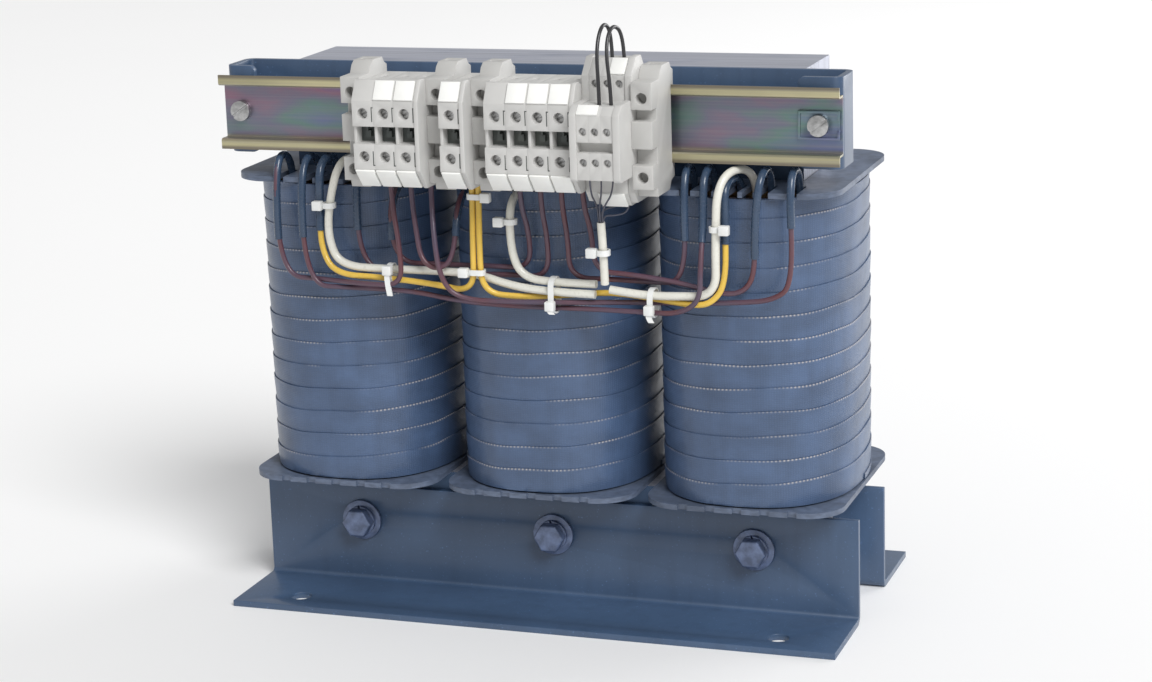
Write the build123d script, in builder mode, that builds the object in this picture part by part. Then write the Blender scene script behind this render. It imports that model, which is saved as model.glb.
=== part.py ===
from build123d import *
import math
import os

os.makedirs("parts", exist_ok=True)

# ---------------------------------------------------------------- driving sizes, mm
limb_w = 50.0            # limb width
window_w = 50.0          # window between limbs
window_h = 150.0         # window height
yoke_h = 50.0            # yoke height
stack = 50.0             # lamination stack depth
core_z0 = 10.0           # underside of the bottom yoke above the feet
pitch = limb_w + window_w
half_core = pitch + limb_w / 2
win_z0 = core_z0 + yoke_h
win_z1 = win_z0 + window_h
core_z1 = win_z1 + yoke_h
phases = (("left", -pitch), ("centre", 0.0), ("right", pitch))

bolt_d = 8.0             # yoke clamping bolts
bolt_af = 13.0
bolt_head_t = 5.3
bolt_nut_t = 6.5
sleeve_wall = 1.0
washer_d = 20.0
washer_t = 1.6
spring_d = 14.8
spring_t = 2.0
low_bolt_z = core_z0 + 23.5
top_bolt_z = core_z1 - 24.0

sheet = 3.0              # folded clamp sheet
angle_len = 300.0
leg_h = 51.0
foot_depth = 50.0
bend_in = 2.0
foot_hole_d = 10.0
foot_hole_x = angle_len / 2 - 30.0
foot_hole_y = 61.0

clamp_half = 149.0       # top clamp half length
clamp_rise = 10.0        # lower edge of the top clamps above the window
clamp_h = 41.0
clamp_z0 = win_z1 + clamp_rise
clamp_z1 = clamp_z0 + clamp_h
tab_front = stack / 2 + 25.0      # front face of the rail tabs, behind the rail
tab_left = 15.0
tab_right = 20.0

rail_over = 0.5          # rail end past the clamp's end
rail_half = clamp_half + rail_over
rail_z = clamp_z0 + 20.0
rail_w = 35.0
rail_d = 7.5
rail_hat = 27.0
rail_t = 1.0
rail_back = -tab_front
rail_face = rail_back - rail_d
rail_screw_x = (8.0 - clamp_half, clamp_half - 10.0)
rail_screw_d = 5.0

flange_hx = 47.0         # bobbin cheek half width
flange_hy = 58.0         # bobbin cheek half depth
flange_r = 18.0
flange_t = 2.5
tube_gap = 0.5           # limb to bobbin tube
tube_t = 1.5
inner_wind = 9.0         # radial builds
layer_ins = 1.2
coil_hx = 47.2           # taped coil, half width at its widest
coil_hy = 57.6           # taped coil, half depth at its deepest
coil_bulge_x = 1.4
coil_bulge_y = 6.0
coil_r = 20.0
tape_t = 1.5
tape_bands = 12
tape_step = 0.35
wind_margin = 3.5
lead_slot_w = 5.0
lead_y = -42.0

term_w = 10.0            # terminal pitch on the rail
term_x = (-64.5, -54.5, -44.5, -23.0, -1.5, 8.5, 18.5, 28.5)
term_reach = 38.9        # terminal front, from the rail's face
plate_x = (-34.5, -13.0, 38.5)
plate_t = 2.0
bracket_x = (-74.0, -32.5, -11.0, 63.5)
bracket_w = 9.5
wire_in = 10.5           # wire entries of the terminals, from the rail's face
bar_in = 23.75           # current bars, from the rail's face
bar_t = 1.5
bar_w = 6.0
well_d = 5.0             # screw wells
well_deep = 6.0
twin_x0 = 43.7           # two level terminals
twin_w = 16.6 / 3
twin_n = 3
twin_plate = 3.2

wire_d = 2.4
screen_d = 2.8
hose_d = 3.8
lead_hose_d = 3.6
jumper_d = 1.7
sensor_d = 0.8
hose_wall = 0.6
tie_w = 3.6
tie_t = 1.0
tie_tail = 9.0           # tails of the ties round the level runs

tube_in = limb_w / 2 + tube_gap
tube_out = tube_in + tube_t
coil_z0 = win_z0 + flange_t
coil_z1 = win_z1 - flange_t
wind_z0 = coil_z0 + wind_margin
wind_z1 = coil_z1 - wind_margin
lead_x = {
    "left": (-121.0, -106.0, -97.0, -85.5, -80.0, -63.0),
    "centre": (-29.0, -2.0),
    "right": (78.6, 88.4, 100.5, 107.5, 114.5, 127.6),
}

# ---------------------------------------------------------------- laminated core
with BuildPart() as core_e_stack:
    with BuildSketch(Plane.XZ):
        with Locations((0, core_z0 + yoke_h / 2)):
            Rectangle(2 * half_core, yoke_h)
        for side, x0 in phases:
            with Locations((x0, win_z0 + window_h / 2)):
                Rectangle(limb_w, window_h)
        with Locations(*[(x0, low_bolt_z) for side, x0 in phases]):
            Circle(bolt_d / 2 + sleeve_wall, mode=Mode.SUBTRACT)
    extrude(amount=stack / 2, both=True)
core_e_stack.part.label = "core_e_stack"
export_step(core_e_stack.part, "parts/core_e_stack.step")

with BuildPart() as core_top_yoke:
    with BuildSketch(Plane.XZ):
        with Locations((0, win_z1 + yoke_h / 2)):
            Rectangle(2 * half_core, yoke_h)
        with Locations(*[(x0, top_bolt_z) for side, x0 in phases]):
            Circle(bolt_d / 2 + sleeve_wall, mode=Mode.SUBTRACT)
    extrude(amount=stack / 2, both=True)
core_top_yoke.part.label = "core_top_yoke"
export_step(core_top_yoke.part, "parts/core_top_yoke.step")

# ---------------------------------------------------------------- bottom angles
for name, s in (("front", -1), ("rear", 1)):
    ya = s * stack / 2
    yb = s * (stack / 2 + sheet)
    yc = s * (stack / 2 + foot_depth)
    with BuildPart() as bottom_angle:
        with BuildSketch(Plane.YZ.offset(-angle_len / 2)):
            with BuildLine():
                Polyline((ya, leg_h), (yb, leg_h), (yb, sheet), (yc, sheet), (yc, 0), (ya, 0), close=True)
            make_face()
            fillet([v for v in vertices() if abs(v.X - yb) < 0.01 and abs(v.Y - sheet) < 0.01], bend_in)
            fillet([v for v in vertices() if abs(v.X - ya) < 0.01 and abs(v.Y) < 0.01], bend_in + sheet)
        extrude(amount=angle_len)
        with BuildSketch(Plane.XZ.offset(-s * stack / 2)):
            with Locations(*[(x0, low_bolt_z) for side, x0 in phases]):
                Circle(bolt_d / 2 + 0.5)
        extrude(amount=-s * sheet, mode=Mode.SUBTRACT)
        with BuildSketch(Plane.XY):
            with Locations((-foot_hole_x, s * foot_hole_y), (foot_hole_x, s * foot_hole_y)):
                Circle(foot_hole_d / 2)
        extrude(amount=sheet, mode=Mode.SUBTRACT)
    bottom_angle.part.label = f"{name}_bottom_angle"
    export_step(bottom_angle.part, f"parts/{name}_bottom_angle.step")
    print(bottom_angle.part.label, round(bottom_angle.part.volume, 1), bottom_angle.part.bounding_box())

# ---------------------------------------------------------------- top clamps
with BuildPart() as front_top_clamp:
    with BuildSketch(Plane.XY.offset(clamp_z0)):
        yb = -stack / 2
        yt = -tab_front
        with BuildLine():
            Polyline((-clamp_half, yb), (clamp_half, yb), (clamp_half, yt), (clamp_half - tab_right, yt),
                     (clamp_half - tab_right, yt + sheet), (clamp_half - sheet, yt + sheet),
                     (clamp_half - sheet, yb - sheet), (-clamp_half + sheet, yb - sheet),
                     (-clamp_half + sheet, yt + sheet), (-clamp_half + tab_left, yt + sheet),
                     (-clamp_half + tab_left, yt), (-clamp_half, yt), close=True)
        make_face()
        fillet([v for v in vertices() if abs(abs(v.X) - clamp_half) < 0.01], bend_in + sheet)
        fillet([v for v in vertices() if abs(abs(v.X) - clamp_half + sheet) < 0.01], bend_in)
    extrude(amount=clamp_z1 - clamp_z0)
    fillet(front_top_clamp.edges().filter_by(Axis.Y).filter_by(lambda e: e.center().Y < yt + sheet
           and abs(e.center().X) < clamp_half - tab_left + 1), 3.0)
    with BuildSketch(Plane.XZ.offset(stack / 2)):
        with Locations(*[(x0, top_bolt_z) for side, x0 in phases]):
            Circle(bolt_d / 2 + 0.5)
    extrude(amount=sheet, mode=Mode.SUBTRACT)
    with BuildSketch(Plane.XZ.offset(tab_front - sheet)):
        with Locations(*[(x, rail_z) for x in rail_screw_x]):
            Circle(rail_screw_d / 2)
    extrude(amount=sheet, mode=Mode.SUBTRACT)
front_top_clamp.part.label = "front_top_clamp"
export_step(front_top_clamp.part, "parts/front_top_clamp.step")
print("front_top_clamp", round(front_top_clamp.part.volume, 1), front_top_clamp.part.bounding_box())

with BuildPart() as rear_top_clamp:
    with BuildSketch(Plane.XY.offset(clamp_z0)):
        yb = stack / 2
        yt = tab_front
        with BuildLine():
            Polyline((-clamp_half, yb), (clamp_half, yb), (clamp_half, yt), (clamp_half - sheet, yt),
                     (clamp_half - sheet, yb + sheet), (-clamp_half + sheet, yb + sheet),
                     (-clamp_half + sheet, yt), (-clamp_half, yt), close=True)
        make_face()
        fillet([v for v in vertices() if abs(abs(v.X) - clamp_half) < 0.01 and v.Y < yb + 1], bend_in + sheet)
        fillet([v for v in vertices() if abs(abs(v.X) - clamp_half + sheet) < 0.01 and v.Y < yt - 1], bend_in)
    extrude(amount=clamp_z1 - clamp_z0)
    with BuildSketch(Plane.XZ.offset(-stack / 2)):
        with Locations(*[(x0, top_bolt_z) for side, x0 in phases]):
            Circle(bolt_d / 2 + 0.5)
    extrude(amount=-sheet, mode=Mode.SUBTRACT)
rear_top_clamp.part.label = "rear_top_clamp"
export_step(rear_top_clamp.part, "parts/rear_top_clamp.step")

# ---------------------------------------------------------------- yoke bolts and their hardware
bolt_spots = [(x0, low_bolt_z) for side, x0 in phases] + [(x0, top_bolt_z) for side, x0 in phases]
y_sheet = stack / 2 + sheet
y_washer = y_sheet + washer_t
y_spring = y_washer + spring_t
y_nut = y_washer + bolt_nut_t

with BuildPart() as yoke_bolts:
    with BuildSketch(Plane.XZ.offset(y_spring)):
        with Locations(*bolt_spots):
            RegularPolygon(bolt_af / 2, 6, major_radius=False)
    extrude(amount=bolt_head_t)
    chamfer(yoke_bolts.faces().sort_by(Axis.Y)[:6].edges(), 0.6)
    with BuildSketch(Plane.XZ.offset(y_spring)):
        with Locations(*bolt_spots):
            Circle(bolt_d / 2)
    extrude(amount=-(y_spring + y_nut + 2.0))
yoke_bolts.part.label = "yoke_bolts"
export_step(yoke_bolts.part, "parts/yoke_bolts.step")

with BuildPart() as yoke_bolt_sleeves:
    with BuildSketch(Plane.XZ.offset(-stack / 2)):
        with Locations(*bolt_spots):
            Circle(bolt_d / 2 + sleeve_wall)
            Circle(bolt_d / 2, mode=Mode.SUBTRACT)
    extrude(amount=stack)
yoke_bolt_sleeves.part.label = "yoke_bolt_sleeves"
export_step(yoke_bolt_sleeves.part, "parts/yoke_bolt_sleeves.step")

with BuildPart() as yoke_washers:
    for y in (-y_washer, y_sheet):
        with BuildSketch(Plane.XZ.offset(-y)):
            with Locations(*bolt_spots):
                Circle(washer_d / 2)
                Circle(bolt_d / 2, mode=Mode.SUBTRACT)
        extrude(amount=-washer_t)
yoke_washers.part.label = "yoke_washers"
export_step(yoke_washers.part, "parts/yoke_washers.step")

with BuildPart() as yoke_spring_washers:
    with BuildSketch(Plane.XZ.offset(y_washer)):
        with Locations(*bolt_spots):
            Circle(spring_d / 2)
            Circle(bolt_d / 2, mode=Mode.SUBTRACT)
        with Locations(*[(x, z + bolt_d / 2 + 2) for x, z in bolt_spots]):
            Rectangle(1.0, 5.0, rotation=20, mode=Mode.SUBTRACT)
    extrude(amount=spring_t)
yoke_spring_washers.part.label = "yoke_spring_washers"
export_step(yoke_spring_washers.part, "parts/yoke_spring_washers.step")

with BuildPart() as yoke_nuts:
    with BuildSketch(Plane.XZ.offset(-y_washer)):
        with Locations(*bolt_spots):
            RegularPolygon(bolt_af / 2, 6, major_radius=False)
            Circle(bolt_d / 2, mode=Mode.SUBTRACT)
    extrude(amount=-bolt_nut_t)
yoke_nuts.part.label = "yoke_nuts"
export_step(yoke_nuts.part, "parts/yoke_nuts.step")

# ---------------------------------------------------------------- coils
for side, x0 in phases:
    with BuildPart() as coil_former:
        with BuildSketch(Plane.XY.offset(win_z0)):
            with Locations((x0, 0)):
                RectangleRounded(2 * flange_hx, 2 * flange_hy, flange_r)
        extrude(amount=flange_t)
        with BuildSketch(Plane.XY.offset(coil_z1)):
            with Locations((x0, 0)):
                RectangleRounded(2 * flange_hx, 2 * flange_hy, flange_r)
            for x in lead_x[side]:
                with Locations((x, (lead_y + 2.5 - flange_hy) / 2)):
                    Rectangle(lead_slot_w, flange_hy + lead_y + 2.5, mode=Mode.SUBTRACT)
        extrude(amount=flange_t)
        with BuildSketch(Plane.XY.offset(win_z0)):
            with Locations((x0, 0)):
                Rectangle(2 * tube_out, 2 * tube_out)
        extrude(amount=window_h)
        with BuildSketch(Plane.XY.offset(win_z0)):
            with Locations((x0, 0)):
                Rectangle(2 * tube_in, 2 * tube_in)
        extrude(amount=window_h, mode=Mode.SUBTRACT)
        with BuildSketch(Plane.XY.offset(win_z0)):
            for k in range(-3, 4):
                with Locations((x0 + 13.0 * k, -flange_hy), (x0 + 13.0 * k, flange_hy)):
                    Rectangle(4.5, 3.0)
        extrude(amount=flange_t, mode=Mode.SUBTRACT)
    coil_former.part.label = f"coil_former_{side}"
    export_step(coil_former.part, f"parts/coil_former_{side}.step")

    r_a = tube_out + inner_wind
    r_b = r_a + layer_ins
    with BuildPart() as inner_winding:
        with BuildSketch(Plane.XY.offset(wind_z0)):
            with Locations((x0, 0)):
                RectangleRounded(2 * r_a, 2 * r_a, 8.0)
                Rectangle(2 * tube_out, 2 * tube_out, mode=Mode.SUBTRACT)
        extrude(amount=wind_z1 - wind_z0)
    inner_winding.part.label = f"inner_winding_{side}"
    export_step(inner_winding.part, f"parts/inner_winding_{side}.step")

    with BuildPart() as layer_insulation:
        with BuildSketch(Plane.XY.offset(coil_z0)):
            with Locations((x0, 0)):
                RectangleRounded(2 * r_b, 2 * r_b, 9.0)
                RectangleRounded(2 * r_a, 2 * r_a, 8.0, mode=Mode.SUBTRACT)
        extrude(amount=coil_z1 - coil_z0)
    layer_insulation.part.label = f"layer_insulation_{side}"
    export_step(layer_insulation.part, f"parts/layer_insulation_{side}.step")

    cx = coil_hx - tape_t
    cy = coil_hy - tape_t
    with BuildPart() as outer_winding:
        with BuildSketch(Plane.XY.offset(wind_z0)):
            with BuildLine():
                ThreePointArc((x0 - cx + coil_bulge_x, -cy + coil_bulge_y), (x0, -cy),
                              (x0 + cx - coil_bulge_x, -cy + coil_bulge_y))
                ThreePointArc((x0 + cx - coil_bulge_x, -cy + coil_bulge_y), (x0 + cx, 0),
                              (x0 + cx - coil_bulge_x, cy - coil_bulge_y))
                ThreePointArc((x0 + cx - coil_bulge_x, cy - coil_bulge_y), (x0, cy),
                              (x0 - cx + coil_bulge_x, cy - coil_bulge_y))
                ThreePointArc((x0 - cx + coil_bulge_x, cy - coil_bulge_y), (x0 - cx, 0),
                              (x0 - cx + coil_bulge_x, -cy + coil_bulge_y))
            make_face()
            fillet(vertices(), coil_r - tape_t)
            with Locations((x0, 0)):
                RectangleRounded(2 * r_b, 2 * r_b, 9.0, mode=Mode.SUBTRACT)
        extrude(amount=wind_z1 - wind_z0)
    outer_winding.part.label = f"outer_winding_{side}"
    export_step(outer_winding.part, f"parts/outer_winding_{side}.step")

    band_h = (wind_z1 - wind_z0) / tape_bands
    with BuildPart() as tape_wrap:
        for k in range(tape_bands):
            grow = -tape_step if k % 2 else 0.0
            tx = coil_hx + grow
            ty = coil_hy + grow
            with BuildSketch(Plane.XY.offset(wind_z0 + k * band_h)):
                with BuildLine():
                    ThreePointArc((x0 - tx + coil_bulge_x, -ty + coil_bulge_y), (x0, -ty),
                                  (x0 + tx - coil_bulge_x, -ty + coil_bulge_y))
                    ThreePointArc((x0 + tx - coil_bulge_x, -ty + coil_bulge_y), (x0 + tx, 0),
                                  (x0 + tx - coil_bulge_x, ty - coil_bulge_y))
                    ThreePointArc((x0 + tx - coil_bulge_x, ty - coil_bulge_y), (x0, ty),
                                  (x0 - tx + coil_bulge_x, ty - coil_bulge_y))
                    ThreePointArc((x0 - tx + coil_bulge_x, ty - coil_bulge_y), (x0 - tx, 0),
                                  (x0 - tx + coil_bulge_x, -ty + coil_bulge_y))
                make_face()
                fillet(vertices(), coil_r + grow)
            extrude(amount=band_h)
        with BuildSketch(Plane.XY.offset(wind_z0)):
            with BuildLine():
                ThreePointArc((x0 - cx + coil_bulge_x, -cy + coil_bulge_y), (x0, -cy),
                              (x0 + cx - coil_bulge_x, -cy + coil_bulge_y))
                ThreePointArc((x0 + cx - coil_bulge_x, -cy + coil_bulge_y), (x0 + cx, 0),
                              (x0 + cx - coil_bulge_x, cy - coil_bulge_y))
                ThreePointArc((x0 + cx - coil_bulge_x, cy - coil_bulge_y), (x0, cy),
                              (x0 - cx + coil_bulge_x, cy - coil_bulge_y))
                ThreePointArc((x0 - cx + coil_bulge_x, cy - coil_bulge_y), (x0 - cx, 0),
                              (x0 - cx + coil_bulge_x, -cy + coil_bulge_y))
            make_face()
            fillet(vertices(), coil_r - tape_t)
        extrude(amount=wind_z1 - wind_z0, mode=Mode.SUBTRACT)
    tape_wrap.part.label = f"tape_wrap_{side}"
    export_step(tape_wrap.part, f"parts/tape_wrap_{side}.step")
    print("coil", side, round(outer_winding.part.volume), round(tape_wrap.part.volume), len(tape_wrap.part.solids()))

# ---------------------------------------------------------------- rail
hz = rail_hat / 2
lz = rail_w / 2
with BuildPart() as din_rail:
    with BuildSketch(Plane.YZ.offset(-rail_half)):
        with BuildLine():
            Polyline((rail_back, rail_z - hz), (rail_back, rail_z + hz), (rail_face + rail_t, rail_z + hz),
                     (rail_face + rail_t, rail_z + lz), (rail_face, rail_z + lz),
                     (rail_face, rail_z + hz - rail_t), (rail_back - rail_t, rail_z + hz - rail_t),
                     (rail_back - rail_t, rail_z - hz + rail_t), (rail_face, rail_z - hz + rail_t),
                     (rail_face, rail_z - lz), (rail_face + rail_t, rail_z - lz),
                     (rail_face + rail_t, rail_z - hz), close=True)
        make_face()
        fillet([v for v in vertices() if abs(v.X - rail_back) < 0.01], 1.3)
        fillet([v for v in vertices() if abs(v.X - rail_face) < 0.01 and abs(v.Y - rail_z) < lz - 1], 1.3)
        fillet([v for v in vertices() if abs(v.X - rail_back + rail_t) < 0.01], 0.3)
        fillet([v for v in vertices() if abs(v.X - rail_face - rail_t) < 0.01 and abs(v.Y - rail_z) < lz - 1], 0.3)
    extrude(amount=2 * rail_half)
    with BuildSketch(Plane.XZ.offset(-rail_back)):
        with Locations(*[(x, rail_z) for x in rail_screw_x]):
            Circle(rail_screw_d / 2)
    extrude(amount=rail_t, mode=Mode.SUBTRACT)
din_rail.part.label = "din_rail"
export_step(din_rail.part, "parts/din_rail.step")

saddle_t = 1.0
with BuildPart() as earth_saddle:
    with BuildSketch(Plane.XZ.offset(-rail_back + rail_t)):
        with Locations((rail_screw_x[1], rail_z)):
            Rectangle(19.0, 13.0)
            Circle(rail_screw_d / 2, mode=Mode.SUBTRACT)
    extrude(amount=saddle_t)
    with BuildSketch(Plane.XZ.offset(-rail_back + rail_t + saddle_t)):
        with Locations((rail_screw_x[1], rail_z)):
            Rectangle(19.0, 13.0)
            Rectangle(16.6, 10.6, mode=Mode.SUBTRACT)
        with Locations((rail_screw_x[1] + 8.0, rail_z)):
            Rectangle(4.0, 4.5, mode=Mode.SUBTRACT)
    extrude(amount=0.8)
earth_saddle.part.label = "earth_saddle"
export_step(earth_saddle.part, "parts/earth_saddle.step")

with BuildPart() as rail_screws:
    for x, yh in ((rail_screw_x[0], rail_back - rail_t), (rail_screw_x[1], rail_back - rail_t - saddle_t)):
        with BuildSketch(Plane.XZ.offset(-yh)):
            with Locations((x, rail_z)):
                Circle(4.75)
        extrude(amount=2.8)
        with BuildSketch(Plane.XZ.offset(-yh + 1.8)):
            with Locations((x, rail_z)):
                Rectangle(12.0, 1.2, rotation=35)
        extrude(amount=1.0, mode=Mode.SUBTRACT)
        with BuildSketch(Plane.XZ.offset(-yh)):
            with Locations((x, rail_z)):
                Circle(rail_screw_d / 2)
        extrude(amount=-(abs(yh) - tab_front + sheet + 2.0))
rail_screws.part.label = "rail_screws"
export_step(rail_screws.part, "parts/rail_screws.step")

# ---------------------------------------------------------------- rail mounted terminals
def rail_side(x):
    """side view plane at x: points are (forward of the rail's face is minus, height from the rail's middle)"""
    return Plane(origin=(x, rail_face, rail_z), x_dir=(0, 1, 0), z_dir=(1, 0, 0))


def rail_front(y):
    """front view plane that far from the rail's face: points are (x, height from the rail's middle)"""
    return Plane(origin=(0, rail_face + y, rail_z), x_dir=(1, 0, 0), z_dir=(0, -1, 0))


def rail_level(z):
    """level plane that far above the rail's middle: points are (x, distance from the rail's face)"""
    return Plane(origin=(0, rail_face, rail_z + z))


hook_top = [(3.5, 20.5), (3.5, 14.2), (1.0, 14.2), (1.0, 17.5), (0.0, 17.5)]
hook_low = [(0.0, -17.5), (1.0, -17.5), (1.0, -14.2), (3.5, -14.2)]
term_front_pts = [(3.5, -22.5), (-2.5, -26.2), (-30.9, -26.2), (-38.9, -17.4), (-38.9, -6.1),
                  (-32.0, -6.1), (-32.0, 1.9), (-38.9, 1.9), (-38.9, 13.5), (-33.9, 22.2),
                  (-31.5, 22.2), (-30.0, 20.5)]
screw_z = (7.7, -11.8)
for i, x0 in enumerate(term_x):
    with BuildPart() as terminal:
        with BuildSketch(rail_side(x0)):
            with BuildLine():
                Polyline(*hook_top, *hook_low, *term_front_pts, close=True)
            make_face()
        extrude(amount=term_w)
        with BuildSketch(rail_side(x0)):
            with Locations((-34.7, -2.1)):
                Rectangle(5.4, 8.0)
        extrude(amount=1.4)
        with BuildSketch(rail_front(-term_reach)):
            with Locations(*[(x0 + term_w / 2, z) for z in screw_z]):
                Circle(well_d / 2)
        extrude(amount=-well_deep, mode=Mode.SUBTRACT)
        with BuildSketch(rail_front(well_deep - term_reach)):
            with Locations(*[(x0 + term_w / 2, z) for z in screw_z]):
                Circle(1.5)
        extrude(amount=-6.0, mode=Mode.SUBTRACT)
        with BuildSketch(rail_level(-26.2)):
            for k in (-1, 1):
                if i == 3:
                    with Locations((x0 + term_w / 2 + 0.1 + 1.5 * k, -wire_in)):
                        Circle(screen_d / 2)
            if i != 3:
                with Locations((x0 + term_w / 2, -wire_in)):
                    Circle(wire_d / 2 + 0.3)
        extrude(amount=8.0, mode=Mode.SUBTRACT)
        with BuildSketch(rail_level(20.5)):
            with Locations((x0 + term_w / 2, -wire_in)):
                Circle(wire_d / 2 + 0.3)
        extrude(amount=-8.0, mode=Mode.SUBTRACT)
        with BuildSketch(rail_level(-15.0)):
            with Locations((x0 + term_w / 2, -bar_in)):
                Rectangle(bar_w, bar_t)
        extrude(amount=26.0, mode=Mode.SUBTRACT)
    terminal.part.label = f"terminal_{i + 1}"
    export_step(terminal.part, f"parts/terminal_{i + 1}.step")
print("terminal", round(terminal.part.volume, 1), terminal.part.bounding_box())

with BuildPart() as terminal_current_bars:
    with BuildSketch(rail_level(-15.0)):
        with Locations(*[(x0 + term_w / 2, -bar_in) for x0 in term_x]):
            Rectangle(bar_w, bar_t)
    extrude(amount=26.0)
terminal_current_bars.part.label = "terminal_current_bars"
export_step(terminal_current_bars.part, "parts/terminal_current_bars.step")

with BuildPart() as terminal_screws:
    for x0 in term_x:
        for z in screw_z:
            with BuildSketch(rail_front(well_deep - term_reach)):
                with Locations((x0 + term_w / 2, z)):
                    Circle(2.3)
            extrude(amount=2.4)
            with BuildSketch(rail_front(well_deep - term_reach)):
                with Locations((x0 + term_w / 2, z)):
                    Circle(1.5)
            extrude(amount=-6.0)
            with BuildSketch(rail_front(well_deep - 1.4 - term_reach)):
                with Locations((x0 + term_w / 2, z)):
                    Rectangle(6.0, 0.9, rotation=30)
            extrude(amount=1.0, mode=Mode.SUBTRACT)
terminal_screws.part.label = "terminal_screws"
export_step(terminal_screws.part, "parts/terminal_screws.step")

with BuildPart() as terminal_end_plates:
    for x0 in plate_x:
        with BuildSketch(rail_side(x0)):
            with BuildLine():
                Polyline((0.0, 18.0), (0.0, -22.0), (-4.5, -26.8), (-31.1, -26.8), (-39.5, -17.6),
                         (-39.5, 13.8), (-34.3, 22.8), (-30.9, 22.8), (-26.5, 21.0), (-4.5, 21.0),
                         close=True)
            make_face()
            fillet([v for v in vertices() if v.X < -22.5], 1.2)
        extrude(amount=plate_t)
terminal_end_plates.part.label = "terminal_end_plates"
export_step(terminal_end_plates.part, "parts/terminal_end_plates.step")

mark_t = 0.9
with BuildPart() as lower_markers:
    a = math.atan2(8.8, 8.0)
    nx, nz = -math.sin(a) * mark_t, -math.cos(a) * mark_t
    tx, tz = math.cos(a) * 0.4, -math.sin(a) * 0.4
    for x0 in term_x:
        with BuildSketch(rail_side(x0 + 0.5)):
            with BuildLine():
                Polyline((-38.9 + tx, -17.4 + tz), (-30.9 - tx, -26.2 - tz), (-30.9 - tx + nx, -26.2 - tz + nz),
                         (-38.9 + tx + nx, -17.4 + tz + nz), close=True)
            make_face()
        extrude(amount=term_w - 1.0)
lower_markers.part.label = "lower_markers"
export_step(lower_markers.part, "parts/lower_markers.step")

with BuildPart() as upper_markers:
    a = math.atan2(8.7, 5.0)
    nx, nz = -math.sin(a) * mark_t, math.cos(a) * mark_t
    tx, tz = math.cos(a) * 0.4, math.sin(a) * 0.4
    for i in (1, 2, 3, 5, 6, 7):
        with BuildSketch(rail_side(term_x[i] + 0.5)):
            with BuildLine():
                Polyline((-38.9 + tx, 13.5 + tz), (-33.9 - tx, 22.2 - tz), (-33.9 - tx + nx, 22.2 - tz + nz),
                         (-38.9 + tx + nx, 13.5 + tz + nz), close=True)
            make_face()
        extrude(amount=term_w - 1.0)
upper_markers.part.label = "upper_markers"
export_step(upper_markers.part, "parts/upper_markers.step")

# ---------------------------------------------------------------- end brackets
bracket_pts = [(3.5, -24.0), (-1.5, -25.2), (-4.5, -29.0), (-21.5, -29.0), (-22.5, -24.7), (-29.0, -24.7),
               (-29.0, -14.0), (-21.5, -14.0), (-21.5, -6.7), (-29.0, -6.7), (-29.0, 5.5), (-21.5, 5.5),
               (-21.5, 10.6), (-29.0, 10.6), (-29.0, 22.6), (-17.5, 22.6), (-15.5, 26.0), (-12.5, 28.0),
               (-1.5, 28.0), (0.5, 25.5), (3.5, 24.0)]
for i, x0 in enumerate(bracket_x):
    with BuildPart() as end_bracket:
        with BuildSketch(rail_side(x0)):
            with BuildLine():
                Polyline(*hook_top[1:], *hook_low, *bracket_pts, close=True)
            make_face()
        extrude(amount=bracket_w)
        with BuildSketch(rail_front(-29.0)):
            with Locations((x0 + bracket_w / 2, 15.6), (x0 + bracket_w / 2, -19.4)):
                Circle(2.5)
        extrude(amount=-6.5, mode=Mode.SUBTRACT)
        with BuildSketch(rail_level(28.0)):
            with Locations((x0 + bracket_w / 2, -8.0)):
                Rectangle(5.5, 3.0)
        extrude(amount=-2.5, mode=Mode.SUBTRACT)
    end_bracket.part.label = f"end_bracket_{i + 1}"
    export_step(end_bracket.part, f"parts/end_bracket_{i + 1}.step")

# ---------------------------------------------------------------- two level terminals
twin_pts = [(3.5, -26.0), (-2.5, -33.5), (-20.5, -33.5), (-26.5, -27.0), (-26.5, -18.0), (-45.5, -18.0),
            (-45.5, -6.0), (-40.5, -6.0), (-40.5, -1.4), (-45.5, -1.4), (-45.5, 10.5), (-41.5, 14.0),
            (-26.5, 14.0), (-26.5, 25.0), (-19.5, 32.0), (-12.5, 32.0), (-2.5, 22.0)]
twin_screws = ((-45.5, 3.2), (-45.5, -10.4), (-26.5, 21.4))
for i in range(twin_n):
    x0 = twin_x0 + i * twin_w
    xc = x0 + twin_w / 2
    with BuildPart() as twin_terminal:
        with BuildSketch(rail_side(x0)):
            with BuildLine():
                Polyline(*hook_top, *hook_low, *twin_pts, close=True)
            make_face()
        extrude(amount=twin_w)
        for yf, z in twin_screws:
            with BuildSketch(rail_front(yf)):
                with Locations((xc, z)):
                    Circle(1.8)
            extrude(amount=-4.5, mode=Mode.SUBTRACT)
        for y, z, d in ((-37.5, 14.0, -7.0), (-17.5, 32.0, -7.0)):
            with BuildSketch(rail_level(z)):
                with Locations((xc, y)):
                    Circle(jumper_d / 2 + 0.1)
            extrude(amount=d, mode=Mode.SUBTRACT)
        for y, z in ((-37.5, -18.0), (-14.5, -33.5)):
            with BuildSketch(rail_level(z)):
                with Locations((xc, y)):
                    Circle(sensor_d / 2 + 0.1)
            extrude(amount=5.0, mode=Mode.SUBTRACT)
    twin_terminal.part.label = f"twin_terminal_{i + 1}"
    export_step(twin_terminal.part, f"parts/twin_terminal_{i + 1}.step")

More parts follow.
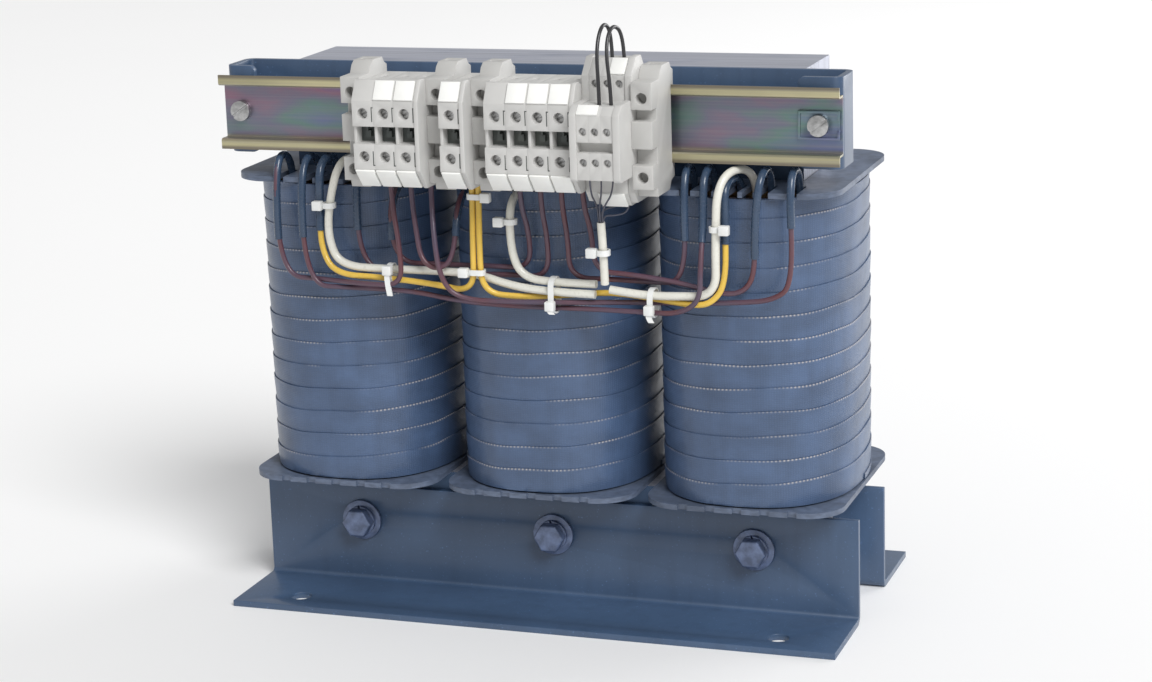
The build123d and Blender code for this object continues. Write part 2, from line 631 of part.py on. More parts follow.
with BuildPart() as twin_screw_set:
    for i in range(twin_n):
        xc = twin_x0 + (i + 0.5) * twin_w
        for yf, z in twin_screws:
            with BuildSketch(rail_front(yf + 4.5)):
                with Locations((xc, z)):
                    Circle(1.8)
            extrude(amount=2.4)
            with BuildSketch(rail_front(yf + 2.9)):
                with Locations((xc, z)):
                    Rectangle(4.0, 0.7, rotation=60)
            extrude(amount=0.8, mode=Mode.SUBTRACT)
twin_screw_set.part.label = "twin_terminal_screws"
export_step(twin_screw_set.part, "parts/twin_terminal_screws.step")

with BuildPart() as twin_end_plates:
    for x0 in (twin_x0 - twin_plate, twin_x0 + twin_n * twin_w):
        with BuildSketch(rail_side(x0)):
            with BuildLine():
                Polyline((0.0, 18.0), (0.0, -28.0), (-3.5, -32.0), (-21.5, -32.0), (-25.5, -27.0),
                         (-25.5, -19.0), (-46.1, -19.0), (-46.1, 11.0), (-41.5, 14.6), (-27.1, 14.6),
                         (-27.1, 25.2), (-19.7, 32.6), (-12.5, 32.6), (-4.5, 23.0), close=True)
            make_face()
            fillet([v for v in vertices() if v.X < -42.5], 2.0)
        extrude(amount=twin_plate)
twin_end_plates.part.label = "twin_terminal_end_plates"
export_step(twin_end_plates.part, "parts/twin_terminal_end_plates.step")

with BuildPart() as twin_markers:
    n = mark_t / math.sqrt(2)
    with BuildSketch(rail_side(twin_x0 + 9.4)):
        with BuildLine():
            Polyline((-26.1, 25.4), (-19.9, 31.6), (-19.9 - n, 31.6 + n), (-26.1 - n, 25.4 + n), close=True)
        make_face()
    extrude(amount=7.0)
    a = math.atan2(3.5, 4.0)
    nx, nz = -math.sin(a) * mark_t, math.cos(a) * mark_t
    with BuildSketch(rail_side(twin_x0 + 0.2)):
        with BuildLine():
            Polyline((-45.5, 10.5), (-41.5, 14.0), (-41.5 + nx, 14.0 + nz), (-45.5 + nx, 10.5 + nz),
                     close=True)
        make_face()
    extrude(amount=9.4)
    a = math.atan2(6.5, 6.0)
    nx, nz = -math.sin(a) * mark_t, -math.cos(a) * mark_t
    with BuildSketch(rail_side(twin_x0 + 3.0)):
        with BuildLine():
            Polyline((-26.5, -27.0), (-20.5, -33.5), (-20.5 + nx, -33.5 + nz), (-26.5 + nx, -27.0 + nz),
                     close=True)
        make_face()
    extrude(amount=12.0)
twin_markers.part.label = "twin_terminal_markers"
export_step(twin_markers.part, "parts/twin_terminal_markers.step")

# ---------------------------------------------------------------- wiring harness
zl = win_z1 + 9.3        # height at which the coil leads turn over the cheek
zr = wind_z1             # leads leave the outer winding here
zs = wind_z1 + 1.81      # leads that lie flat on the winding end, under the terminals
zf = zs + 2.7            # where those leads cross the cheek's front edge
zi = 221.0               # wire ends inside the terminals
wires = {
    "lead_a": (wire_d, [(-121, -42, zr), (-121, -42, zl), (-121.2, -61.6, zl),
                        (-120.6, -61.8, 163.2), (-98, -63.6, 163.0), (-72, -71.6, 163.4), (-54.4, -72.3, 163.7),
                        (-54.6, -72.2, 181), (-59.5, -68, 203), (-59.5, -68, zi)]),
    "lead_b": (wire_d, [(-106, -42, zr), (-106, -42, zl), (-106.2, -66.2, zl),
                        (-105.6, -66.3, 160.3), (-84, -65.8, 160.1), (-52, -65.9, 160.0), (-28, -66, 156.0),
                        (0, -66.2, 155.0), (32, -65.8, 155.4), (62, -66.3, 155.2), (78, -70.0, 156.0),
                        (88.8, -71.9, 162.5), (89.2, -71.6, 178), (88.6, -63.2, 198), (88.4, -61.5, zl),
                        (88.4, -42, zl), (88.4, -42, zr)]),
    "lead_c": (wire_d, [(-80, -42, zr), (-80, -42, zl), (-80.2, -61.4, zl), (-79.8, -61.4, 168.4),
                        (-58, -61.2, 168.6), (-26, -61.4, 168.2), (-4, -61.2, 168.6),
                        (14, -61.3, 168.3), (14.2, -62.4, 188), (13.5, -68, 203), (13.5, -68, zi)]),
    "lead_d": (wire_d, [(-63, -42, zs), (-63.2, -61.4, zf), (-62.8, -61.4, 172.2),
                        (-40, -61.2, 172.0), (-14, -61.4, 172.4), (5.4, -61.3, 172.1),
                        (5.3, -62.4, 190), (3.5, -68, 204), (3.5, -68, zi)]),
    "lead_e": (wire_d, [(-29, -42, zs), (-28.8, -62.0, zf), (-29.0, -69.4, 176.5),
                        (-36.6, -73.0, 171.8), (-44.2, -72.6, 176.5), (-46.8, -70.6, 190), (-49.5, -68, 205),
                        (-49.5, -68, zi)]),
    "lead_f": (wire_d, [(-39.5, -68, zi), (-39.5, -68, 205), (-35.8, -76.4, 188), (-33.4, -76.9, 169),
                        (-25.5, -75, 159.2), (-2, -72.2, 158.4), (28, -67.4, 158.4), (58, -62.6, 158.8),
                        (84, -62.0, 159.4), (104, -62, 160.6), (120, -62, 162.4), (129.2, -62, 170),
                        (127.6, -61.5, zl), (127.6, -42, zl), (127.6, -42, zr)]),
    "lead_g": (wire_d, [(23.5, -68, zi), (23.5, -68, 204), (24.1, -62.6, 188), (24, -61.3, 168.4),
                        (44, -61.2, 168.6), (62, -61.4, 168.2), (79.8, -61.3, 168.4), (78.6, -61.5, zl), (78.6, -42, zl), (78.6, -42, zr)]),
    "lead_h": (wire_d, [(33.5, -68, zi), (33.5, -68, 205), (36.4, -64.7, 191), (37, -64.4, 172.8),
                        (56, -64.2, 171.8), (78, -64.7, 169.2), (97, -63.2, 164.2), (106.5, -62, 165.6),
                        (111.6, -62, 174), (111.6, -61.9, 197), (114.5, -61.5, zl), (114.5, -42, zl),
                        (114.5, -42, zr)]),
}
screens = {
    "screen_a": (screen_d, [(-97, -42, zr), (-97, -42, zl), (-97.2, -63.4, zl), (-97.6, -64, 195),
                            (-96.8, -66.5, 178), (-89.5, -68, 166.6), (-66, -68, 166.2), (-40, -68.8, 164.4),
                            (-18.9, -71.6, 161.9), (-18.8, -71.5, 183), (-19.4, -68, 204),
                            (-19.4, -68, zi)]),
    "screen_b": (screen_d, [(-16.4, -68, zi), (-16.4, -68, 204), (-15.6, -71.5, 183), (-15.4, -71.0, 161.7),
                            (4, -67.0, 159.8), (22, -63.2, 160.6), (44, -62.6, 163.0), (64, -64.6, 161.6),
                            (84, -67.4, 159.6), (93, -67.6, 161.0), (99.5, -66.6, 170), (98.4, -62.4, 198),
                        (97.8, -61.5, 214.8), (100.5, -42, 214.8), (100.5, -42, zr)]),
}
hoses = {
    "hose_a": (hose_d, [(-85.5, -42, zr), (-85.5, -42, zl), (-87.5, -62.8, zl), (-91.8, -66, 200),
                        (-93.2, -66.2, 184), (-88, -66, 170.2), (-62, -66, 169.8), (-36, -66, 170.0),
                        (-18, -66.2, 169.2), (-4, -67.6, 165.4), (14, -68, 163.0), (38.5, -68.2, 162.8)]),
    "hose_b": (hose_d, [(-2, -42, zs + 0.1), (-2, -65.7, zf + 0.1), (-2.8, -66, 182),
                        (2.6, -65.9, 168.6), (20, -65.9, 166.9), (38.5, -66.4, 167.2)]),
    "hose_c": (hose_d, [(45.5, -68, 165.4), (60, -68, 163.4), (76, -68, 163.6), (95.3, -68, 164.6),
                        (95.2, -68, 186), (96.2, -66.4, zl + 0.2), (107.5, -42, zl + 0.2),
                        (107.5, -42, zr)]),
    "hose_d": (hose_d, [(44.9, -76.4, 198), (45.3, -75.2, 184), (44.8, -72.9, 169)]),
}
jumpers = {
    "jumper_a": (jumper_d, [(52.0, -95, 247.5), (52.0, -95, 259), (50.2, -92, 279), (51.0, -84, 289),
                            (52.0, -75, 283), (52.0, -75, 265.5)]),
    "jumper_b": (jumper_d, [(57.53, -95, 247.5), (57.53, -95, 259), (54.4, -92, 279), (55.2, -84, 288.2),
                            (57.53, -75, 282), (57.53, -75, 265.5)]),
}
sensor_wires = {
    "sensor_a": (sensor_d, [(46.47, -95, 226), (46.47, -95, 215), (44.3, -80, 207), (44.01, -76.96, 201.2),
                            (44.21, -76.35, 194)]),
    "sensor_b": (sensor_d, [(52.0, -95, 226), (52.0, -95, 215.5), (46.4, -82, 207.5), (44.84, -77.52, 201.2),
                            (45.04, -76.91, 194)]),
    "sensor_c": (sensor_d, [(57.53, -95, 226), (57.53, -95, 216), (48.5, -82, 206.5), (45.63, -76.9, 201.2),
                            (45.83, -76.29, 194)]),
    "sensor_d": (sensor_d, [(52.0, -72, 211), (52.0, -72, 204.6), (46.5, -73.8, 204.0), (44.29, -76.0, 201.2),
                            (44.49, -75.39, 194)]),
    "sensor_e": (sensor_d, [(57.53, -72, 211), (57.53, -72, 202.6), (51.0, -74.6, 200.8), (45.29, -75.97, 201.2),
                            (45.49, -75.36, 194)]),
}


def bend_radii(points):
    """radius at each inner corner: 0.45 of the shorter run over tan(half turn)"""
    radii = []
    for a, b, c in zip(points, points[1:], points[2:]):
        va = Vector(*b) - Vector(*a)
        vb = Vector(*c) - Vector(*b)
        turn = math.radians(max(va.get_angle(vb), 0.5))
        radii.append(round(min(0.45 * min(va.length, vb.length) / math.tan(turn / 2), 400.0), 3))
    return radii


for node, group in (("winding_leads", wires), ("screen_leads", screens), ("sensor_hoses", hoses),
                    ("jumper_wires", jumpers), ("sensor_wires", sensor_wires)):
    wanted = 0.0
    with BuildPart() as wire_set:
        for name, (d, points) in group.items():
            radii = bend_radii(points)
            with BuildLine() as route:
                FilletPolyline(*points, radius=radii)
            bore = d / 2 - hose_wall if node == "sensor_hoses" else 0.0
            with BuildSketch(Plane(origin=points[0], z_dir=route.line % 0)):
                Circle(d / 2)
                if bore:
                    Circle(bore, mode=Mode.SUBTRACT)
            sweep(path=route.line)
            wanted += sum(e.length for e in route.edges()) * math.pi * (d * d / 4 - bore * bore)
            print(name, "radii", [round(r, 1) for r in radii], "smallest in diameters", round(min(radii) / d, 1))
    wire_set.part.label = node
    export_step(wire_set.part, f"parts/{node}.step")
    print(node, "tubes", len(group), "solids", len(wire_set.part.solids()), "volume", round(wire_set.part.volume, 1),
          "section x length", round(wanted, 1))

lead_ends = (("lead_a", 0, 181.0), ("lead_b", 0, 183.5), ("lead_c", 0, 187.0), ("lead_d", 0, 183.0),
             ("lead_e", 0, 187.0), ("lead_b", 1, 188.5), ("lead_f", 1, 195.5), ("lead_g", 1, 188.0),
             ("lead_h", 1, 181.0), ("screen_a", 0, 186.6), ("screen_b", 1, 187.5))
with BuildPart() as lead_hoses:
    for name, flip, z_end in lead_ends:
        d, points = {**wires, **screens}[name]
        radii = bend_radii(points)
        if flip:
            points = points[::-1]
            radii = radii[::-1]
        k = next(j for j in range(1, 6) if points[j + 1][2] < z_end)
        p, q = Vector(*points[k]), Vector(*points[k + 1])
        t = (p.Z - z_end) / (p.Z - q.Z)
        stop = p + (q - p) * t
        with BuildLine() as route:
            FilletPolyline(*points[:k + 1], stop.to_tuple(), radius=radii[:k])
        with BuildSketch(Plane(origin=points[0], z_dir=route.line % 0)):
            Circle(d / 2 + 0.6)
            Circle(d / 2, mode=Mode.SUBTRACT)
        sweep(path=route.line)
lead_hoses.part.label = "lead_hoses"
export_step(lead_hoses.part, "parts/lead_hoses.step")
print("lead_hoses", len(lead_hoses.part.solids()), round(lead_hoses.part.volume, 1))

# ---------------------------------------------------------------- cable ties
# (centre x, centre y, z, inner half x, inner half y, head side) around upright wires
upright_ties = ((-91.9, -66.0, 199.0, 2.5, 2.5, -1), (-17.9, -68.1, 206.0, 3.4, 1.9, 1),
                (-17.2, -71.5, 171.5, 3.4, 1.9, -1), (-2.3, -65.7, 194.5, 2.5, 2.5, -1),
                (45.2, -75.2, 184.0, 2.5, 2.6, -1), (95.4, -67.7, 195.0, 2.2, 2.2, 1))
# (x, y from, y to, z from, z to, head z) around level runs
level_ties = ((-61.5, -70.0, -63.7, 164.3, 172.3, 170.5), (18.2, -71.2, -61.6, 153.6, 169.3, 157.5),
              (65.0, -70.4, -60.9, 153.6, 165.9, 157.5))
with BuildPart() as cable_ties:
    for cx, cy, z, hx, hy, s in upright_ties:
        with BuildSketch(Plane.XY.offset(z - tie_w / 2)):
            with Locations((cx, cy)):
                RectangleRounded(2 * (hx + tie_t), 2 * (hy + tie_t), min(hx, hy) * 0.8 + tie_t)
                RectangleRounded(2 * hx, 2 * hy, min(hx, hy) * 0.8, mode=Mode.SUBTRACT)
        extrude(amount=tie_w)
        with BuildSketch(Plane.XY.offset(z - 2.6)):
            with Locations((cx + s * (hx + tie_t + 2.0), cy - 2.8)):
                Rectangle(5.0, 4.4)
        extrude(amount=5.2)
    for x, ya, yb, za, zb, zh in level_ties:
        with BuildSketch(Plane.YZ.offset(x - tie_w / 2)):
            with Locations(((ya + yb) / 2, (za + zb) / 2)):
                RectangleRounded(yb - ya + 2 * tie_t, zb - za + 2 * tie_t, 1.5 + tie_t)
                RectangleRounded(yb - ya, zb - za, 1.5, mode=Mode.SUBTRACT)
        extrude(amount=tie_w)
        with BuildSketch(Plane.YZ.offset(x - 2.6)):
            with Locations((ya - tie_t - 1.7, zh)):
                Rectangle(4.0, 5.0)
        extrude(amount=5.2)
        with BuildSketch(Plane.YZ.offset(x - tie_w / 2 + 0.3)):
            with Locations((ya - tie_t - 3.1, zh - 2.5 - tie_tail / 2)):
                Rectangle(tie_t, tie_tail)
        extrude(amount=tie_w - 0.6)
cable_ties.part.label = "cable_ties"
export_step(cable_ties.part, "parts/cable_ties.step")
print("cable_ties", len(cable_ties.part.solids()), round(cable_ties.part.volume, 1))
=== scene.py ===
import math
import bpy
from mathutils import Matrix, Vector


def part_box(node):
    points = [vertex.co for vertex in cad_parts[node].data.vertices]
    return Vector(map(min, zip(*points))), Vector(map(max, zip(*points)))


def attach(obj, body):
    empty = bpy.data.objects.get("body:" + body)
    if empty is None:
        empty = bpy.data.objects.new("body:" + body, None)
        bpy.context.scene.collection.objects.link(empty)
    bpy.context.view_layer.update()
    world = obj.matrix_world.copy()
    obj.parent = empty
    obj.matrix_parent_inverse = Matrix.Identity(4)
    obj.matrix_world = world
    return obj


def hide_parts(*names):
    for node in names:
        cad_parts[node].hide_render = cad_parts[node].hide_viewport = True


bl_info = {
    "name": "Dry type transformer",
    "version": (1, 0, 0),
    "blender": (4, 5, 0),
    "location": "View3D > Sidebar > Transformer",
    "description": "Three-limb dry type transformer with taped coils, a terminal rail and its lead harness",
    "category": "Object",
}

import bmesh
import bpy
from mathutils import Matrix, Vector, noise

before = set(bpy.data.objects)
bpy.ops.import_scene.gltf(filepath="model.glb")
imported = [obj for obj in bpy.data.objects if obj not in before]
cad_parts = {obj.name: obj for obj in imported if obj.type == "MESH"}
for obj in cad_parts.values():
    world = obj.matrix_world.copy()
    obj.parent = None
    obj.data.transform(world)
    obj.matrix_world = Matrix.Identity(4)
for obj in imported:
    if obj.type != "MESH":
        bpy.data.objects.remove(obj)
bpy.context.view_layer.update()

MM = 0.001
ROUNDNESS = 2.4          # of the taped coils' outline, 2 for an ellipse
SIDES = ("left", "centre", "right")
TERMINALS = range(1, 9)
TWINS = range(1, 4)
BRACKETS = range(1, 5)

WINDING_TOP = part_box("outer_winding_left")[1][2]
CHEEK_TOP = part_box("coil_former_left")[1][2]
OVER_CHEEK = CHEEK_TOP + 9.3 * MM
FLAT_ON_TOP = WINDING_TOP + 1.81 * MM
CHEEK_EDGE = FLAT_ON_TOP + 2.7 * MM
IN_TERMINAL = 221 * MM

TURN_STEPS = 144         # facets in one turn of tape
PAST_WRAP = 2.7 * MM     # how far the tape runs past the wrap's box, up and down
UNDER_TAPE = 1.75 * MM   # from the tape's outline in to the winding
JOINED = 2e-6            # points nearer than this are one

FLOOR_HALF = 9.0
KEY_PLACE = (1.4, -1.4, 1.8)
KEY_SPREAD = 28.0        # degrees
RIM_PLACE = (1.5, 2.0, 0.9)
RIM_SIZE = 1.6
LIGHT_AIM = (0.0, 0.0, 0.13)
CAMERA_PLACE = (0.4267, -1.2018, 0.4398)
CAMERA_ANGLES = (19.355, 13.983, -1.799)   # degrees to the right, up and of roll
FOCAL_LENGTH = 84.94     # on a sensor 36 wide

# Routes of the harness, from one held end to the other, as control points in metres.
LEADS = {
    "lead_a": [(-0.121, -0.042, WINDING_TOP), (-0.121, -0.042, OVER_CHEEK),
        (-0.1212, -0.0616, OVER_CHEEK), (-0.1206, -0.0618, 0.1632), (-0.098, -0.0636, 0.163),
        (-0.072, -0.0716, 0.1634), (-0.0544, -0.0723, 0.1637), (-0.0546, -0.0722, 0.181),
        (-0.0595, -0.068, 0.203), (-0.0595, -0.068, IN_TERMINAL)],
    "lead_b": [(-0.106, -0.042, WINDING_TOP), (-0.106, -0.042, OVER_CHEEK),
        (-0.1062, -0.0662, OVER_CHEEK), (-0.1056, -0.0663, 0.1603), (-0.084, -0.0658, 0.1601),
        (-0.052, -0.0659, 0.16), (-0.028, -0.066, 0.156), (0, -0.0662, 0.155),
        (0.032, -0.0658, 0.1554), (0.062, -0.0663, 0.1552), (0.078, -0.07, 0.156),
        (0.0888, -0.0719, 0.1625), (0.0892, -0.0716, 0.178), (0.0886, -0.0632, 0.198),
        (0.0884, -0.0615, OVER_CHEEK), (0.0884, -0.042, OVER_CHEEK), (0.0884, -0.042, WINDING_TOP)],
    "lead_c": [(-0.08, -0.042, WINDING_TOP), (-0.08, -0.042, OVER_CHEEK),
        (-0.0802, -0.0614, OVER_CHEEK), (-0.0798, -0.0614, 0.1684), (-0.058, -0.0612, 0.1686),
        (-0.026, -0.0614, 0.1682), (-0.004, -0.0612, 0.1686), (0.014, -0.0613, 0.1683),
        (0.0142, -0.0624, 0.188), (0.0135, -0.068, 0.203), (0.0135, -0.068, IN_TERMINAL)],
    "lead_d": [(-0.063, -0.042, FLAT_ON_TOP), (-0.0632, -0.0614, CHEEK_EDGE),
        (-0.0628, -0.0614, 0.1722), (-0.04, -0.0612, 0.172), (-0.014, -0.0614, 0.1724),
        (0.0054, -0.0613, 0.1721), (0.0053, -0.0624, 0.19), (0.0035, -0.068, 0.204),
        (0.0035, -0.068, IN_TERMINAL)],
    "lead_e": [(-0.029, -0.042, FLAT_ON_TOP), (-0.0288, -0.062, CHEEK_EDGE), (-0.029, -0.0694, 0.1765),
        (-0.0366, -0.073, 0.1718), (-0.0442, -0.0726, 0.1765), (-0.0468, -0.0706, 0.19),
        (-0.0495, -0.068, 0.205), (-0.0495, -0.068, IN_TERMINAL)],
    "lead_f": [(-0.0395, -0.068, IN_TERMINAL), (-0.0395, -0.068, 0.205), (-0.0358, -0.0764, 0.188),
        (-0.0334, -0.0769, 0.169), (-0.0255, -0.075, 0.1592), (-0.002, -0.0722, 0.1584),
        (0.028, -0.0674, 0.1584), (0.058, -0.0626, 0.1588), (0.084, -0.062, 0.1594),
        (0.104, -0.062, 0.1606), (0.12, -0.062, 0.1624), (0.1292, -0.062, 0.17),
        (0.1276, -0.0615, OVER_CHEEK), (0.1276, -0.042, OVER_CHEEK), (0.1276, -0.042, WINDING_TOP)],
    "lead_g": [(0.0235, -0.068, IN_TERMINAL), (0.0235, -0.068, 0.204), (0.0241, -0.0626, 0.188),
        (0.024, -0.0613, 0.1684), (0.044, -0.0612, 0.1686), (0.062, -0.0614, 0.1682),
        (0.0798, -0.0613, 0.1684), (0.0786, -0.0615, OVER_CHEEK), (0.0786, -0.042, OVER_CHEEK),
        (0.0786, -0.042, WINDING_TOP)],
    "lead_h": [(0.0335, -0.068, IN_TERMINAL), (0.0335, -0.068, 0.205), (0.0364, -0.0647, 0.191),
        (0.037, -0.0644, 0.1728), (0.056, -0.0642, 0.1718), (0.078, -0.0647, 0.1692),
        (0.097, -0.0632, 0.1642), (0.1065, -0.062, 0.1656), (0.1116, -0.062, 0.174),
        (0.1116, -0.0619, 0.197), (0.1145, -0.0615, OVER_CHEEK), (0.1145, -0.042, OVER_CHEEK),
        (0.1145, -0.042, WINDING_TOP)],
}
SCREENS = {
    "screen_a": [(-0.097, -0.042, WINDING_TOP), (-0.097, -0.042, OVER_CHEEK),
        (-0.0972, -0.0634, OVER_CHEEK), (-0.0976, -0.064, 0.195), (-0.0968, -0.0665, 0.178),
        (-0.0895, -0.068, 0.1666), (-0.066, -0.068, 0.1662), (-0.04, -0.0688, 0.1644),
        (-0.0189, -0.0716, 0.1619), (-0.0188, -0.0715, 0.183), (-0.0194, -0.068, 0.204),
        (-0.0194, -0.068, IN_TERMINAL)],
    "screen_b": [(-0.0164, -0.068, IN_TERMINAL), (-0.0164, -0.068, 0.204), (-0.0156, -0.0715, 0.183),
        (-0.0154, -0.071, 0.1617), (0.004, -0.067, 0.1598), (0.022, -0.0632, 0.1606),
        (0.044, -0.0626, 0.163), (0.064, -0.0646, 0.1616), (0.084, -0.0674, 0.1596),
        (0.093, -0.0676, 0.161), (0.0995, -0.0666, 0.17), (0.0984, -0.0624, 0.198),
        (0.0978, -0.0615, 0.2148), (0.1005, -0.042, 0.2148), (0.1005, -0.042, WINDING_TOP)],
}
HOSES = {
    "hose_a": [(-0.0855, -0.042, WINDING_TOP), (-0.0855, -0.042, OVER_CHEEK),
        (-0.0875, -0.0628, OVER_CHEEK), (-0.0918, -0.066, 0.2), (-0.0932, -0.0662, 0.184),
        (-0.088, -0.066, 0.1702), (-0.062, -0.066, 0.1698), (-0.036, -0.066, 0.17),
        (-0.018, -0.0662, 0.1692), (-0.004, -0.0676, 0.1654), (0.014, -0.068, 0.163),
        (0.0385, -0.0682, 0.1628)],
    "hose_b": [(-0.002, -0.042, FLAT_ON_TOP + 0.0001), (-0.002, -0.0657, CHEEK_EDGE + 0.0001),
        (-0.0028, -0.066, 0.182), (0.0026, -0.0659, 0.1686), (0.02, -0.0659, 0.1669),
        (0.0385, -0.0664, 0.1672)],
    "hose_c": [(0.0455, -0.068, 0.1654), (0.06, -0.068, 0.1634), (0.076, -0.068, 0.1636),
        (0.0953, -0.068, 0.1646), (0.0952, -0.068, 0.186), (0.0962, -0.0664, OVER_CHEEK + 0.0002),
        (0.1075, -0.042, OVER_CHEEK + 0.0002), (0.1075, -0.042, WINDING_TOP)],
    "hose_d": [(0.0449, -0.0764, 0.198), (0.0453, -0.0752, 0.184), (0.0448, -0.0729, 0.169)],
}
JUMPERS = {
    "jumper_a": [(0.052, -0.095, 0.2475), (0.052, -0.095, 0.259), (0.0502, -0.092, 0.279),
        (0.051, -0.084, 0.289), (0.052, -0.075, 0.283), (0.052, -0.075, 0.2655)],
    "jumper_b": [(0.05753, -0.095, 0.2475), (0.05753, -0.095, 0.259), (0.0544, -0.092, 0.279),
        (0.0552, -0.084, 0.2882), (0.05753, -0.075, 0.282), (0.05753, -0.075, 0.2655)],
}
SENSOR_WIRES = {
    "sensor_a": [(0.04647, -0.095, 0.226), (0.04647, -0.095, 0.215), (0.0443, -0.08, 0.207),
        (0.04401, -0.07696, 0.2012), (0.04421, -0.07635, 0.194)],
    "sensor_b": [(0.052, -0.095, 0.226), (0.052, -0.095, 0.2155), (0.0464, -0.082, 0.2075),
        (0.04484, -0.07752, 0.2012), (0.04504, -0.07691, 0.194)],
    "sensor_c": [(0.05753, -0.095, 0.226), (0.05753, -0.095, 0.216), (0.0485, -0.082, 0.2065),
        (0.04563, -0.0769, 0.2012), (0.04583, -0.07629, 0.194)],
    "sensor_d": [(0.052, -0.072, 0.211), (0.052, -0.072, 0.2046), (0.0465, -0.0738, 0.204),
        (0.04429, -0.076, 0.2012), (0.04449, -0.07539, 0.194)],
    "sensor_e": [(0.05753, -0.072, 0.211), (0.05753, -0.072, 0.2026), (0.051, -0.0746, 0.2008),
        (0.04529, -0.07597, 0.2012), (0.04549, -0.07536, 0.194)],
}

# Height at which each sleeve over a coil's end lead stops, and whether it starts from the route's far end.
SLEEVE_STOPS = (
    ("lead_a", False, 0.1810), ("lead_b", False, 0.1835),
    ("lead_c", False, 0.1870), ("lead_d", False, 0.1830),
    ("lead_e", False, 0.1870), ("lead_b", True, 0.1885), ("lead_f", True, 0.1955), ("lead_g", True, 0.1880),
    ("lead_h", True, 0.1810), ("screen_a", False, 0.1866), ("screen_b", True, 0.1875),
)


# ---------------------------------------------------------------- sizes and colours that a user may change
def colour_property(name, description, default):
    """a colour that the sidebar shows"""
    return bpy.props.FloatVectorProperty(name=name, description=description, subtype="COLOR", size=3,
                                         default=default, min=0.0, max=1.0)


def length_property(name, description, default, low, high):
    """a length in metres that the sidebar shows"""
    return bpy.props.FloatProperty(name=name, description=description, default=default, min=low, max=high,
                                   unit="LENGTH")


class CoilTapeSizes(bpy.types.PropertyGroup):
    """Woven tape wound round each coil"""

    pitch: length_property("Turn pitch", "Rise of the tape in one turn", 11.2 * MM, 0.004, 0.03)
    width: length_property(
        "Tape width", "Width of the tape, with its lap over the next turn",
        13.8 * MM, 0.005, 0.04)
    thickness: length_property(
        "Tape thickness", "Thickness of one layer of varnished tape",
        0.45 * MM, 0.0001, 0.002)
    lean: length_property(
        "Lean", "How much further out a turn's upper edge lies than its lower edge",
        0.78 * MM, 0.0, 0.003)
    wander: length_property(
        "Edge wander", "How far a hand-wound edge strays up and down",
        0.9 * MM, 0.0, 0.005)
    colour: colour_property("Tape colour", "Colour of the tape under its varnish", (0.058, 0.098, 0.185))
    # this edge colour is the pale woven edge and also a painted highlight where the light catches each turn's
    # upper edge
    selvage_highlight: colour_property(
        "Selvage colour", "Colour of the woven edge where the varnish is thin",
        (0.50, 0.47, 0.47))


class SteelworkColours(bpy.types.PropertyGroup):
    """Core, clamps, bolts and rail"""

    varnish: colour_property(
        "Frame varnish", "Impregnating varnish on the clamps and the bottom angles",
        (0.050, 0.090, 0.165))
    lamination: colour_property("Core sheets", "Edges of the core's sheets", (0.50, 0.52, 0.60))
    bolt: colour_property("Bolts", "Varnished zinc of the yoke bolts", (0.13, 0.17, 0.28))
    zinc_web: colour_property("Rail web", "Passivated zinc on the rail's web", (0.185, 0.185, 0.25))
    # the lip colour is the passivate's gold tint and, next to each bend, also a painted highlight
    zinc_lip: colour_property("Rail lips", "Passivated zinc on the rail's lips", (0.60, 0.55, 0.33))
    edge: length_property("Edge radius", "Small rounding on sheet and bolt edges", 0.35 * MM, 0.0, 0.002)


class TerminalColours(bpy.types.PropertyGroup):
    """Terminals, end brackets and their markers"""

    moulding: colour_property("Moulding", "Light grey plastic of the terminals", (0.56, 0.555, 0.54))
    bracket: colour_property("End brackets", "Grey plastic of the end brackets", (0.50, 0.495, 0.48))
    marker: colour_property("Marker strips", "White marker strips", (0.90, 0.90, 0.87))
    screw: colour_property("Screws", "Zinc plating of the small screws", (0.50, 0.50, 0.50))
    edge: length_property("Edge radius", "Small rounding on moulded edges", 0.28 * MM, 0.0, 0.002)


class HarnessSizes(bpy.types.PropertyGroup):
    """Wires, hoses and sleeves"""

    lead: length_property("Lead", "Diameter of a winding lead", 2.4 * MM, 0.0005, 0.01)
    screen: length_property("Screen lead", "Diameter of a yellow screen lead", 2.8 * MM, 0.0005, 0.01)
    hose: length_property("Hose", "Outer diameter of a sensor hose", 3.8 * MM, 0.0005, 0.01)
    sleeve_wall: length_property(
        "Sleeve wall", "Wall of the sleeve over a lead's coil end",
        0.6 * MM, 0.0001, 0.003)
    jumper: length_property("Jumper", "Diameter of a black jumper", 1.7 * MM, 0.0005, 0.01)
    sensor: length_property("Sensor wire", "Diameter of a thin sensor wire", 0.8 * MM, 0.0002, 0.01)
    lead_colour: colour_property("Lead colour", "Mauve enamel and wrap of the leads", (0.085, 0.062, 0.100))
    lead_end_colour: colour_property(
        "Lead end colour", "Reddish brown of the leads where varnish has run on them",
        (0.120, 0.040, 0.048))
    screen_colour: colour_property("Screen lead colour", "Yellow insulation", (0.80, 0.53, 0.085))
    hose_colour: colour_property("Hose colour", "Off-white hose", (0.76, 0.75, 0.68))
    sleeve_colour: colour_property("Sleeve colour", "Dark varnished sleeving", (0.040, 0.070, 0.125))
    tie_width: length_property("Tie width", "Width of a cable tie's strap", 2.6 * MM, 0.001, 0.01)
    tie_sheet: length_property("Tie thickness", "Thickness of a cable tie's strap", 0.7 * MM, 0.0002, 0.003)
    tie_colour: colour_property("Cable tie colour", "Natural nylon", (0.80, 0.81, 0.80))


